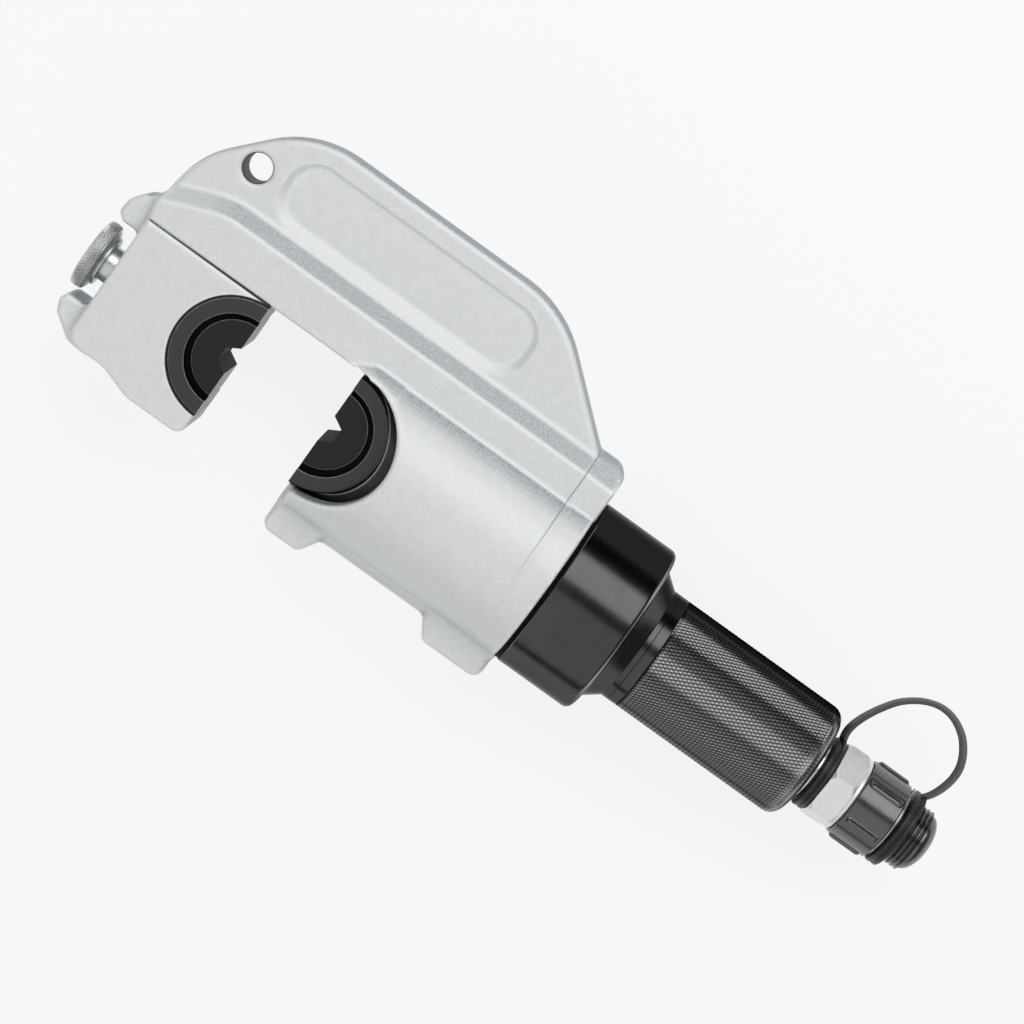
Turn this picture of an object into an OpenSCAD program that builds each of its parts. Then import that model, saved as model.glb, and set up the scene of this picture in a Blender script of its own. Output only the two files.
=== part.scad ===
// Hydraulic crimping head: forged C frame with its barrel, spring return ram,
// half round dies, die latch, knurled handle, screw coupler and tethered dust plug.
// Modelled along the ram: x runs to the coupler, y to the spine, z out of the plate.

/* [Jaw] */
// Gap between the die faces with the ram back
jaw_opening = 39; // [34:0.5:42]
// Length of the jaw block behind the upper die
jaw_back_len = 28.8; // [26.8:0.1:36]
// Thickness of the jaw block
jaw_t = 34; // [30:0.5:38]
// Width of the jaw block below the upper die
jaw_lip = 9.3; // [7:0.1:14]
// Height of the step in the jaw block's lower edge
jaw_step_h = 4; // [2:0.5:6]
// Gap between the dies and the flange's inner face
throat_gap = 1; // [0.6:0.1:2]

/* [Spine] */
// Height of the spine's top above the ram axis
spine_y = 79.5; // [72:0.5:90]
// Thickness of the web
web_t = 18; // [12:0.5:24]
// Thickness of the inner flange
flange_t = 33; // [28:0.5:36]
// Depth of the inner flange
flange_h = 16.4; // [12:0.2:20]
// Height of the slope from the flange down to the web
slope_h = 6; // [4:0.5:9]
// Depth of the soft pocket in each side of the web
pocket_depth = 1.8; // [0.5:0.1:4]
// Diameter of the hanging hole
hang_d = 10.3; // [8:0.1:12]

/* [Barrel] */
// Wall of the barrel
barrel_wall = 8.2; // [6.5:0.1:10]
// Length of the barrel
barrel_len = 90.5; // [86:0.5:100]
// Drop of the two foot lugs below the ram axis
lug_drop = 42.6; // [38:0.2:50]
// Thickness of the foot lugs
lug_t = 16; // [10:0.5:22]

/* [Ram and dies] */
// Diameter of the half round dies
die_d = 44.4; // [38:0.1:50]
// Width of the ram beside the die
ram_cheek = 2.1; // [1.7:0.1:3]
// Thickness of the dies
die_t = 34; // [30:0.5:36]
// Side of the hexagonal crimping cavity
cavity_side = 5.25; // [4:0.05:7]
// How far the ram face stands out of the barrel at rest
ram_proud = 2; // [1:0.1:4]
// Wire diameter of the return spring
return_wire_d = 2.2; // [1.6:0.1:2.6]

/* [Base and handle] */
// How far the base's collar stands out past the barrel
base_step = 0.5; // [0.4:0.1:2]
// Length of the base's wide collar
collar_len = 30; // [26:0.5:40]
// Length of the base's tapered neck
neck_len = 8.5; // [6:0.5:14]
// Diameter of the knurled handle
handle_d = 44; // [38:0.5:48]
// Length of the knurled handle
handle_len = 71.4; // [60:0.2:90]

/* [Coupler] */
// Width across the flats of the coupler's hexagon
hex_af = 27; // [25:0.5:30]
// Length of the coupler's hexagon
hex_len = 9.5; // [7:0.5:14]
// Outer diameter of the coupler nut
nut_d = 29.6; // [28:0.2:34]
// Length of the coupler nut
nut_len = 15.5; // [13:0.5:20]
// Number of grip ribs on the coupler nut
nut_ribs = 6; // [3:1:12]
// Length of the dust plug's ribbed head and dome
plug_head_len = 11.1; // [9:0.1:16]
// Height of the strap's loop above its two eyes
strap_h = 30.7; // [20:0.1:40]

/* [Die latch] */
// Diameter of the latch knob
knob_d = 26; // [20:0.5:28]
// Width of the latch knob
knob_w = 7.3; // [6:0.1:10]
// Diameter of the latch pin
pin_d = 6; // [5:0.1:7]

/* [Hidden] */

// Facets of round shapes, steps of outline arcs, rings of a coil turn and sides of its wire
fine = 96;
arc_steps = 8;
coil_rings = 12;
coil_sides = 6;

// Clearances and overrun of cuts
over = 1;
running_fit = 0.05;
seat_fit = 0.05;
face_gap = 0.1;
soft_gap = 0.3;

// Places along the ram axis, from the front face of the base collar
gasket_t = 1.5;
barrel_end_x = -gasket_t;
barrel_front_x = barrel_end_x - barrel_len;
ram_face_x = barrel_front_x - ram_proud;
jaw_face_x = ram_face_x - jaw_opening;
die_r = die_d / 2;
upper_back_x = jaw_face_x - die_r;
lower_back_x = ram_face_x + die_r;
head_x = upper_back_x - jaw_back_len;
bore_r = die_r + ram_cheek;
barrel_r = bore_r + barrel_wall;
base_r = barrel_r + base_step;

// Spine outline
throat_y = die_r + throat_gap;
flange_y = throat_y + flange_h;
slope_y = flange_y + slope_h;
kink_rise = 5.8;
kink_y = throat_y + kink_rise;
kink_out = 1;
nose_rise = 2.4;
nose_y = slope_y + nose_rise;
nose_in = 2.5;
brow_in = 31.5;
nose_r = 40;
brow_r = 38;
back_in = 50.3;
back_r = 42.6;
rim_w = 11.8;
rim_lip = 0.8;
rim_y = slope_y + rim_lip;
rim_r = 5;
rim_root_r = 3;
rim_rise = 0.4;
rim_ring_w = 9.5;
bend_in = 20;
bend_angle = 22;
pocket_front_in = 30;
pocket_back_in = 50;
pocket_rim_h = 6.6;
pocket_foot_h = 1;
pocket_r = 12;
hang_in = 20;
hang_rise = 12.4;
hang_y = slope_y + hang_rise;
hang_r = hang_d / 2;

// Jaw block, horns, lugs and ridge
jaw_drop = die_r + jaw_lip;
jaw_back_drop = jaw_drop - jaw_step_h;
jaw_step_front_in = 28;
jaw_step_back_in = 16;
jaw_step_r = 12;
jaw_corner_r = 4;
jaw_back_r = 6;
horn_t = 20;
horn_root = 3;
horn_reach = 11.6;
horn_knob_gap = 3;
horn_gap_r = knob_d / 2 + horn_knob_gap;
horn_tip_h = 5.5;
horn_mid_out = 6;
horn_mid_drop = 2.8;
horn_mid_h = kink_y - horn_mid_drop;
horn_round = 2.5;
horn_low_step = 0.8;
horn_low_h = jaw_back_drop + horn_low_step;
lug_front_len = 14;
lug_rear_len = 23.5;
lug_slope_len = 4.5;
lug_root_h = 3;
lug_root_drop = barrel_r + lug_root_h;
lug_round = 2.5;
ridge_h = 3.5;
ridge_drop = barrel_r + ridge_h;
ridge_t = 2.4;
notch_in = 2.5;
notch_extra = 0.2;
notch_r = bore_r + notch_extra;

// Dies
die_rim_w = 6;
die_groove_w = 1.2;
die_recess_r = die_r - die_rim_w;
die_plate_r = die_recess_r - die_groove_w;
die_recess = 2.5;
die_groove = 4;

// Ram
ram_r = bore_r - running_fit;
spigot_len = 11.5;
ram_rest_gap = 1.5;
ram_rear_x = -spigot_len - ram_rest_gap;
ram_web = 13.8;
ram_hollow_r = 11;
ram_hollow_x = lower_back_x + ram_web;
ring_depth = 3;
seal_in = 1.6;
seal_w = 4;
backup_w = 1.6;
guide_in = 9.2;
guide_w = 3;
seal_x = ram_rear_x - seal_in - seal_w;
backup_x = seal_x - backup_w;
guide_x = ram_rear_x - guide_in - guide_w;
ring_r = ram_r - ring_depth;

// Detent that holds the lower die in the ram
detent_r = 3;
detent_depth = 7.8;
detent_proud = 0.8;
detent_wire_d = 0.8;
detent_coil_gap = 0.4;
detent_ball_r = detent_r - running_fit;
detent_ball_x = lower_back_x - detent_proud + detent_ball_r;
detent_end_x = lower_back_x + detent_depth;
detent_mean_r = detent_r - detent_wire_d / 2 - face_gap;
detent_reach = detent_ball_r + detent_wire_d / 2 + face_gap;
detent_spring_x = detent_ball_x + sqrt(pow(detent_reach, 2) - pow(detent_mean_r, 2)) - detent_wire_d / 2;

// Return spring and its two threaded plugs
plug_stud_r = 5.9;
plug_stud_len = 8;
plug_flange_r = 9.5;
plug_flange_t = 3;
plug_shank_r = 4;
front_shank_len = 4.5;
rear_shank_len = 9;
rear_bore_r = 1.5;
base_pocket_r = 13;
base_pocket_x = 4;
front_flange_x = ram_hollow_x;
front_stud_x = front_flange_x + plug_flange_t;
rear_flange_x = base_pocket_x - plug_flange_t;
return_coil_gap = 0.9;
return_mean_r = plug_stud_r + soft_gap + return_wire_d / 2 + soft_gap;

// Base
base_edge_r = 3;
spigot_step = 2.1;
spigot_r = bore_r + spigot_step;
spigot_play = 0.05;
spigot_groove_in = 4;
base_ring_d = 2.4;
neck_shoulder = 6;
neck_wide_r = base_r - neck_shoulder;
neck_lip = 2;
socket_r = 13;
socket_len = 21;
base_len = collar_len + neck_len;
socket_x = base_len - socket_len;
oil_r = 2.5;

// Handle
handle_r = handle_d / 2;
handle_x = base_len + face_gap;
handle_end_x = handle_x + handle_len;
handle_edge_r = 5;
handle_front_chamfer = 1;
handle_spigot_len = 20;
handle_bore_r = 4;
handle_ring_d = 2;
handle_groove_in = 5;
shank_r = 8.5;
shank_len = 15;
shank_seat_len = 16;

// Coupler
washer_t = 2;
washer_r = 11.5;
washer_x = handle_end_x;
coupler_neck_x = washer_x + washer_t;
coupler_neck_r = 9.5;
coupler_neck_len = 4.5;
hex_x = coupler_neck_x + coupler_neck_len;
hex_end_x = hex_x + hex_len;
hex_r = hex_af / sqrt(3);
hex_turn = 20;
hex_chamfer = 1.2;
sleeve_r = 12;
thrust_t = 1.5;
thrust_r = 14;
nut_x = hex_end_x + thrust_t + soft_gap;
nut_end_x = nut_x + nut_len;
nut_r = nut_d / 2;
nut_edge = 0.8;
rib_w = 1.3;
rib_h = 1.1;
rib_inset = 1;
rib_turn = 40;
snap_t = 0.9;
snap_r = 14.4;
snap_groove = 0.6;
snap_gap = 3;
snap_lip = 0.4;
snap_x = nut_end_x + face_gap;
sleeve_end_x = snap_x + snap_t + snap_lip;
socket_mouth_r = 9;
socket_mouth_len = 14;
mouth_x = sleeve_end_x - socket_mouth_len;

// Poppet valve inside the coupler
chamber_r = 6.5;
seat_len = 3;
seat_r = 4.2;
seat_x = mouth_x - seat_len;
poppet_r = 6;
poppet_head_len = 4;
poppet_nose_r = 3.4;
poppet_nose_len = 3.6;
poppet_tail_r = 2;
poppet_head_x = seat_x - soft_gap - poppet_head_len;
guide_disc_t = 3;
guide_holes = 4;
guide_hole_r = 0.9;
guide_pitch_r = 4.2;
poppet_wire_d = 0.9;
poppet_coil_gap = 2;

// Dust plug and its strap
eye_w = 4;
eye_front_r = 14;
eye_rear_r = 15;
eye_front_x = coupler_neck_x + (coupler_neck_len - eye_w) / 2;
plug_neck_r = 9.6;
plug_neck_x = sleeve_end_x + soft_gap;
eye_rear_x = plug_neck_x + face_gap;
plug_head_x = eye_rear_x + eye_w + face_gap;
plug_stem_r = 8.85;
plug_stem_len = 11.5;
plug_tip_in = 1;
plug_ring_d = 1.8;
plug_ring_in = 4;
plug_head_r = 12;
plug_rib_n = 3;
plug_rib_groove = 0.7;
// Ends of a rib, its groove's slope and its groove, as shares of the rib's pitch
plug_rib_shares = [0.6, 0.75, 0.9];
plug_ribbed_len = 5.6;
dome_r = 11;
dome_end_x = plug_head_x + plug_head_len;
strap_w = 4.4;
strap_t = 1.5;
strap_twist = 40;
strap_root_drop = 1;
strap_steps = 3;
// Route of the strap's middle line: share of the way between the eyes, share of the loop's height
strap_shares = [[0, 0], [-0.03, 0.13], [-0.02, 0.26], [0.03, 0.42], [0.115, 0.6], [0.22, 0.765],
    [0.36, 0.895], [0.51, 0.975], [0.66, 1], [0.815, 0.965], [0.97, 0.865], [1.085, 0.72],
    [1.15, 0.57], [1.165, 0.42], [1.14, 0.26], [1.085, 0.115], [1, 0]];

// Die latch
bush_r = 6.75;
bush_head_len = 6.8;
bush_shank_r = 5;
bush_shank_len = 12;
bush_edge = 0.8;
pin_r = pin_d / 2;
pin_reach = 2;
pin_tip_chamfer = 0.6;
pin_guide_len = 5;
pin_collar_r = 4.6;
pin_collar_t = 2.5;
latch_cavity_x = upper_back_x - pin_guide_len;
pin_collar_x = latch_cavity_x - face_gap - pin_collar_t;
bush_end_x = head_x + bush_shank_len;
latch_wire_d = 0.9;
latch_coil_gap = 1.2;
knob_gap = 4.7;
knob_back_x = head_x - knob_gap;
knob_face_x = knob_back_x - knob_w;
knob_r = knob_d / 2;
knob_back_r = 10.5;
knob_bevel = 2;
knob_crown = 0.5;
knob_face_bevel = 1.5;
knob_well_r = 7.2;
knob_floor_gap = 0.4;
knob_floor_x = head_x - bush_head_len - knob_floor_gap;
knob_skin = 1.6;
pin_end_x = knob_face_x + knob_skin;
screw_head_r = 2.6;
screw_head_t = 1.2;
screw_r = 1.25;
screw_len = 7;

// Place of the model: middle of its box in x and y, its lowest line at z = 0
low_x = min(knob_face_x, head_x - horn_reach);
mid_x = (low_x + dome_end_x) / 2;
mid_y = (spine_y - lug_drop) / 2;
rest_z = max(base_r, barrel_r + rim_rise);

// Outline helpers: a point is [x, y, radius of its corner]
function unit(v) = v / norm(v);

function corner(a, p, b, r) =
    let (u = unit(a - p), w = unit(b - p), half = acos(u * w) / 2)
    let (room = min(norm(a - p), norm(b - p)) / 2, t = min(r / tan(half), room))
    let (c = p + unit(u + w) * t / cos(half), s = p + u * t - c, e = p + w * t - c)
    let (a0 = atan2(s.y, s.x), turn = (atan2(e.y, e.x) - a0 + 540) % 360 - 180)
    [for (i = [0:arc_steps]) let (q = a0 + turn * i / arc_steps) c + norm(s) * [cos(q), sin(q)]];

function flat(p) = [p.x, p.y];

function rounded(pts) =
    let (n = len(pts))
    [for (i = [0:n - 1])
        let (p = pts[i], a = flat(pts[(i + n - 1) % n]), b = flat(pts[(i + 1) % n]))
        each p[2] > 0 ? corner(a, flat(p), b, p[2]) : [flat(p)]];

// Quarter round of a turned profile, from angle a0 to a1 about [r, x]
function bend(r, x, radius, a0, a1) =
    [for (i = [0:arc_steps])
        let (a = a0 + (a1 - a0) * i / arc_steps)
        [r + radius * cos(a), x + radius * sin(a)]];

// Moves the model from the ram axis to its own frame
module place() {
    translate([-mid_x, -mid_y, rest_z])
        children();
}

// Solid turned about the ram axis from points [radius, x]
module turned(pts) {
    rotate([0, 90, 0])
        rotate_extrude($fn = fine)
            polygon(pts);
}

// Round bar along the ram axis
module bar(r, x0, x1) {
    translate([x0, 0, 0])
        rotate([0, 90, 0])
            cylinder(r = r, h = x1 - x0, $fn = fine);
}

// Round tube along the ram axis
module tube(r_out, r_in, x0, x1) {
    difference() {
        bar(r_out, x0, x1);
        bar(r_in, x0 - over, x1 + over);
    }
}

// Sealing ring of round section about the ram axis
module seal_ring(r_out, d, x) {
    translate([x, 0, 0])
        rotate([0, 90, 0])
            rotate_extrude($fn = fine)
                translate([r_out - d / 2, 0])
                    circle(d = d, $fn = fine / 4);
}

// Plate of an outline, centred on the middle plane
module plate(pts, t) {
    linear_extrude(t, center = true)
        polygon(rounded(pts));
}

// Hexagonal bar along the ram axis, with one corner turned from z towards y
module hex_bar(r, x0, x1, turn) {
    translate([x0, 0, 0])
        rotate([-turn, 0, 0])
            rotate([0, 90, 0])
                cylinder(r = r, h = x1 - x0, $fn = 6);
}

// Faces of a tube with closed ends, of n rings with m points each
function tube_faces(n, m) = concat(
    [for (i = [0:n - 2], j = [0:m - 1]) [i * m + j, i * m + (j + 1) % m, (i + 1) * m + j]],
    [for (i = [0:n - 2], j = [0:m - 1]) [(i + 1) * m + j, i * m + (j + 1) % m, (i + 1) * m + (j + 1) % m]],
    [for (j = [1:m - 2]) [0, j + 1, j]],
    [for (j = [1:m - 2]) [(n - 1) * m, (n - 1) * m + j, (n - 1) * m + j + 1]]);

// Coil spring along the ram axis whose wire fills x0 to x1, with whole turns a given gap apart or more
module coil(mean_r, wire_d, gap, x0, x1) {
    run = x1 - x0 - wire_d;
    turns = max(1, floor(run / (wire_d + gap)));
    rings = turns * coil_rings + 1;
    pts = [for (i = [0:rings - 1], j = [0:coil_sides - 1])
        let (a = 360 * i / coil_rings, b = 360 * j / coil_sides)
        let (r = mean_r + cos(b) * wire_d / 2)
        [x0 + wire_d / 2 + run * i / (rings - 1) + sin(b) * wire_d / 2, r * cos(a), r * sin(a)]];
    polyhedron(pts, tube_faces(rings, coil_sides));
}

// Outline of the web and the spine, closed across the barrel and the throat
function web_pts() = [
    [head_x - kink_out, kink_y, 0], [head_x + nose_in, nose_y, nose_r], [head_x + brow_in, spine_y, brow_r],
    [barrel_end_x - back_in, spine_y, back_r], [barrel_end_x - rim_w, rim_y, rim_root_r],
    [barrel_end_x, rim_y, rim_r], [barrel_end_x, 0, 0], [barrel_front_x, 0, 0],
    [barrel_front_x, throat_y, 0], [head_x, throat_y, 0]];

// Roof over the flange: two slopes that cross the web's faces on the z axis and run on into the web
module flange_roof() {
    reach = barrel_end_x - head_x;
    run = (flange_t - web_t) / 2;
    rotate([90, 0, 90])
        linear_extrude(reach * 2, center = true)
            polygon([[slope_h / 2, run / 2 - web_t / 2], [slope_h / 2, web_t / 2 - run / 2],
                [-slope_h * 2, web_t / 2 + run * 2], [-reach, web_t / 2 + run * 2],
                [-reach, -web_t / 2 - run * 2], [-slope_h * 2, -web_t / 2 - run * 2]]);
}

// Inner flange whose slopes bend down towards the jaw at the nose
module flange_run() {
    intersection() {
        plate(web_pts(), flange_t);
        translate([head_x + bend_in, slope_y, 0])
            intersection() {
                flange_roof();
                rotate([0, 0, bend_angle])
                    flange_roof();
            }
    }
}

// Jaw block with its stepped lower edge
module jaw_block() {
    plate([[head_x - kink_out, kink_y, 0], [head_x, throat_y, 0], [head_x, -jaw_back_drop, jaw_back_r],
        [head_x + jaw_step_back_in, -jaw_back_drop, jaw_step_r],
        [head_x + jaw_step_front_in, -jaw_drop, jaw_step_r],
        [jaw_face_x, -jaw_drop, jaw_corner_r], [jaw_face_x, kink_y, 0]], jaw_t);
}

// Two horns that guard the latch knob
module horns() {
    tip_x = head_x - horn_reach;
    plate([[head_x + horn_root, kink_y, 0], [head_x - horn_mid_out, horn_mid_h, horn_round],
        [tip_x, horn_gap_r + horn_tip_h, horn_round], [tip_x, horn_gap_r, horn_round],
        [head_x + horn_root, horn_gap_r, 0]], horn_t);
    plate([[head_x + horn_root, -horn_gap_r, 0], [tip_x, -horn_gap_r, horn_round],
        [tip_x, -horn_gap_r - horn_tip_h, horn_round], [head_x, -horn_low_h, horn_round],
        [head_x + horn_root * 2, -jaw_back_drop + horn_root, 0]], horn_t);
}

// Foot lugs and the parting ridge between them
module lugs() {
    front_end = barrel_front_x + lug_front_len;
    rear_start = barrel_end_x - lug_rear_len;
    plate([[barrel_front_x, -bore_r, 0], [barrel_front_x, -lug_drop, lug_round],
        [front_end, -lug_drop, lug_round], [front_end + lug_slope_len, -lug_root_drop, 0],
        [front_end + lug_slope_len, -bore_r, 0]], lug_t);
    plate([[rear_start - lug_slope_len, -bore_r, 0], [rear_start - lug_slope_len, -lug_root_drop, 0],
        [rear_start, -lug_drop, lug_round], [barrel_end_x, -lug_drop, lug_round],
        [barrel_end_x, -bore_r, 0]], lug_t);
    plate([[front_end, -bore_r, 0], [front_end, -ridge_drop, 0],
        [rear_start, -ridge_drop, 0], [rear_start, -bore_r, 0]], ridge_t);
}

// Shallow round cornered pocket in one side of the web
module pocket() {
    x0 = head_x + pocket_front_in;
    x1 = barrel_end_x - pocket_back_in;
    y0 = slope_y + pocket_foot_h;
    y1 = spine_y - pocket_rim_h;
    translate([0, 0, web_t / 2 - pocket_depth])
        linear_extrude(pocket_depth + over)
            polygon(rounded([[x0, y0, pocket_r], [x0, y1, pocket_r],
                [x1, y1, pocket_r], [x1, y0, pocket_r]]));
}

// Opening in the barrel walls that clears the lower die
module notch() {
    x = barrel_front_x + notch_in;
    intersection() {
        union() {
            translate([x, 0, 0])
                cylinder(r = notch_r, h = base_r * 2 + over, center = true, $fn = fine);
            translate([barrel_front_x - over, -notch_r, -base_r - over])
                cube([notch_in + over, notch_r * 2, base_r * 2 + over * 2]);
        }
        translate([barrel_front_x - over, -base_r, -base_r * 2])
            cube([barrel_len, base_r + throat_y, base_r * 4]);
    }
}

// Bores of the die latch in the jaw block
module latch_bores() {
    bar(bush_shank_r + seat_fit, head_x - over, latch_cavity_x);
    bar(pin_r + running_fit, latch_cavity_x - over, jaw_face_x);
}

module c_frame() {
    color("silver") place() difference() {
        union() {
            plate(web_pts(), web_t);
            flange_run();
            jaw_block();
            horns();
            bar(barrel_r, barrel_front_x, barrel_end_x);
            bar(barrel_r + rim_rise, barrel_end_x - rim_ring_w, barrel_end_x);
            plate([[barrel_end_x - rim_w, 0, 0], [barrel_end_x - rim_w, rim_y, 0],
                [barrel_end_x, rim_y, rim_r], [barrel_end_x, 0, 0]], flange_t);
            lugs();
        }
        bar(bore_r, jaw_face_x, barrel_end_x + over);
        bar(spigot_r + spigot_play, barrel_end_x - spigot_len - spigot_play, barrel_end_x + over);
        notch();
        translate([jaw_face_x, 0, 0])
            cylinder(r = die_r + seat_fit, h = jaw_t + over, center = true, $fn = fine);
        latch_bores();
        translate([head_x + hang_in, hang_y, 0])
            cylinder(r = hang_r, h = web_t + over, center = true, $fn = fine);
        pocket();
        mirror([0, 0, 1])
            pocket();
    }
}

// Half round die about the z axis, facing +x, with stepped faces and its half cavity
module half_die() {
    difference() {
        intersection() {
            cylinder(r = die_r, h = die_t, center = true, $fn = fine);
            translate([-die_d, -die_d, -die_t])
                cube([die_d, die_d * 2, die_t * 2]);
        }
        for (side = [0, 1])
            mirror([0, 0, side]) {
                translate([0, 0, die_t / 2 - die_recess])
                    cylinder(r = die_recess_r, h = die_recess + over, $fn = fine);
                difference() {
                    translate([0, 0, die_t / 2 - die_groove])
                        cylinder(r = die_recess_r, h = die_groove + over, $fn = fine);
                    cylinder(r = die_plate_r, h = die_t, $fn = fine);
                }
            }
        rotate([0, 0, 90])
            cylinder(r = cavity_side, h = die_t + over, center = true, $fn = 6);
    }
}

module upper_die() {
    color("dimgray") place() difference() {
        translate([jaw_face_x, 0, 0])
            half_die();
        bar(pin_r + soft_gap, upper_back_x - over, upper_back_x + pin_reach + soft_gap);
    }
}

module lower_die() {
    color("dimgray") place() difference() {
        translate([ram_face_x, 0, 0])
            mirror([1, 0, 0])
                half_die();
        translate([detent_ball_x, 0, 0])
            sphere(r = detent_ball_r + running_fit, $fn = fine);
    }
}

module ram() {
    color("dimgray") place() difference() {
        bar(ram_r, ram_face_x, ram_rear_x);
        translate([ram_face_x, 0, 0])
            cylinder(r = die_r + seat_fit, h = bore_r * 2 + over, center = true, $fn = fine);
        bar(detent_r, ram_face_x, detent_end_x);
        bar(ram_hollow_r, ram_hollow_x, ram_rear_x + over);
        bar(plug_shank_r + seat_fit, ram_hollow_x - front_shank_len - seat_fit, ram_hollow_x + over);
        tube(bore_r + over, ring_r, backup_x, seal_x + seal_w);
        tube(bore_r + over, ring_r, guide_x, guide_x + guide_w);
    }
}

module piston_seal() {
    color("black") place()
        tube(ram_r, ring_r + seat_fit, seal_x + seat_fit, seal_x + seal_w - seat_fit);
}

module backup_ring() {
    color("white") place()
        tube(ram_r, ring_r + seat_fit, backup_x + seat_fit, seal_x - seat_fit);
}

module guide_ring() {
    color("tan") place()
        tube(ram_r, ring_r + seat_fit, guide_x + seat_fit, guide_x + guide_w - seat_fit);
}

module detent_ball() {
    color("silver") place()
        translate([detent_ball_x, 0, 0])
            sphere(r = detent_ball_r, $fn = fine);
}

module detent_spring() {
    color("gray") place()
        coil(detent_mean_r, detent_wire_d, detent_coil_gap, detent_spring_x, detent_end_x - face_gap);
}

module spring_front_plug() {
    color("gray") place() union() {
        bar(plug_shank_r, ram_hollow_x - front_shank_len, front_stud_x);
        bar(plug_flange_r, front_flange_x, front_stud_x);
        bar(plug_stud_r, front_stud_x, front_stud_x + plug_stud_len);
    }
}

module spring_rear_plug() {
    color("gray") place() difference() {
        union() {
            bar(plug_shank_r, rear_flange_x, base_pocket_x + rear_shank_len);
            bar(plug_flange_r, rear_flange_x, base_pocket_x);
            bar(plug_stud_r, rear_flange_x - plug_stud_len, rear_flange_x);
        }
        bar(rear_bore_r, rear_flange_x - plug_stud_len - over, base_pocket_x + rear_shank_len + over);
    }
}

module return_spring() {
    color("gray") place()
        coil(return_mean_r, return_wire_d, return_coil_gap,
            front_stud_x + face_gap, rear_flange_x - face_gap);
}

module cylinder_base() {
    color([0.16, 0.16, 0.17]) place() difference() {
        turned(concat([[0, -spigot_len], [spigot_r, -spigot_len], [spigot_r, 0], [base_r, 0]],
            bend(base_r - base_edge_r, collar_len - base_edge_r, base_edge_r, 0, 90),
            [[neck_wide_r, collar_len], [handle_r, base_len - neck_lip],
                [handle_r, base_len], [0, base_len]]));
        bar(base_pocket_r, -spigot_len - over, base_pocket_x);
        bar(plug_shank_r + seat_fit, base_pocket_x - over, base_pocket_x + rear_shank_len + seat_fit);
        bar(oil_r, base_pocket_x, base_len + over);
        bar(socket_r, socket_x, base_len + over);
        tube(spigot_r + over, spigot_r - base_ring_d - seat_fit,
            -spigot_groove_in - base_ring_d, -spigot_groove_in);
    }
}

module base_gasket() {
    color("black") place()
        tube(barrel_r, spigot_r + spigot_play, barrel_end_x, 0);
}

module base_o_ring() {
    color("black") place()
        seal_ring(spigot_r, base_ring_d, -spigot_groove_in - base_ring_d / 2);
}

module handle() {
    spigot = socket_r - seat_fit;
    front_x = handle_x - handle_spigot_len;
    color([0.13, 0.13, 0.14]) place() difference() {
        turned(concat([[0, front_x], [spigot, front_x], [spigot, handle_x],
            [handle_r - handle_front_chamfer, handle_x], [handle_r, handle_x + handle_front_chamfer]],
            bend(handle_r - handle_edge_r, handle_end_x - handle_edge_r, handle_edge_r, 0, 90),
            [[0, handle_end_x]]));
        bar(handle_bore_r, front_x - over, handle_end_x);
        bar(shank_r + seat_fit, handle_end_x - shank_seat_len, handle_end_x + over);
        translate([front_x + handle_groove_in, 0, 0])
            tube(spigot + over, spigot - handle_ring_d - seat_fit, 0, handle_ring_d);
    }
}

module handle_o_ring() {
    groove_x = handle_x - handle_spigot_len + handle_groove_in;
    color("black") place()
        seal_ring(socket_r - seat_fit, handle_ring_d, groove_x + handle_ring_d / 2);
}

module neck_washer() {
    color("lightgray") place()
        tube(washer_r, shank_r + seat_fit, washer_x, washer_x + washer_t);
}

// Hexagon with chamfered corners
module coupler_hex() {
    intersection() {
        hex_bar(hex_r, hex_x, hex_end_x, hex_turn);
        turned([[0, hex_x], [hex_r - hex_chamfer, hex_x], [hex_r, hex_x + hex_chamfer],
            [hex_r, hex_end_x - hex_chamfer], [hex_r - hex_chamfer, hex_end_x], [0, hex_end_x]]);
    }
}

module coupler_body() {
    color("gainsboro") place() difference() {
        union() {
            bar(shank_r, washer_x - shank_len, coupler_neck_x);
            bar(coupler_neck_r, coupler_neck_x, hex_x);
            coupler_hex();
            bar(sleeve_r, hex_end_x, sleeve_end_x);
        }
        bar(chamber_r, washer_x - shank_len - over, seat_x);
        bar(seat_r, seat_x - over, mouth_x + over);
        bar(socket_mouth_r, mouth_x, sleeve_end_x + over);
        tube(sleeve_r + over, sleeve_r - snap_groove, snap_x, snap_x + snap_t);
    }
}

module thrust_ring() {
    color("lightgray") place()
        tube(thrust_r, sleeve_r + seat_fit, hex_end_x, hex_end_x + thrust_t);
}

module nut_retaining_ring() {
    color("lightgray") place() difference() {
        tube(snap_r, sleeve_r - snap_groove + seat_fit, snap_x + seat_fit, snap_x + snap_t - seat_fit);
        translate([snap_x - over, -snap_gap / 2, -snap_r - over])
            cube([snap_t + over * 2, snap_gap, snap_r + over]);
    }
}

module coupler_nut() {
    color([0.1, 0.1, 0.1]) place() difference() {
        union() {
            turned([[0, nut_x], [nut_r - nut_edge, nut_x], [nut_r, nut_x + nut_edge],
                [nut_r, nut_end_x - nut_edge], [nut_r - nut_edge, nut_end_x], [0, nut_end_x]]);
            for (i = [0:nut_ribs - 1])
                rotate([-rib_turn - i * 360 / nut_ribs, 0, 0])
                    translate([nut_x + rib_inset, -rib_w / 2, 0])
                        cube([nut_len - rib_inset * 2, rib_w, nut_r + rib_h]);
        }
        bar(sleeve_r + running_fit, nut_x - over, nut_end_x + over);
    }
}

module poppet_guide() {
    x0 = washer_x - shank_len;
    color("goldenrod") place() difference() {
        bar(chamber_r - seat_fit, x0, x0 + guide_disc_t);
        bar(poppet_tail_r + running_fit, x0 - over, x0 + guide_disc_t + over);
        for (i = [0:guide_holes - 1])
            rotate([i * 360 / guide_holes, 0, 0])
                translate([0, 0, guide_pitch_r])
                    bar(guide_hole_r, x0 - over, x0 + guide_disc_t + over);
    }
}

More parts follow.
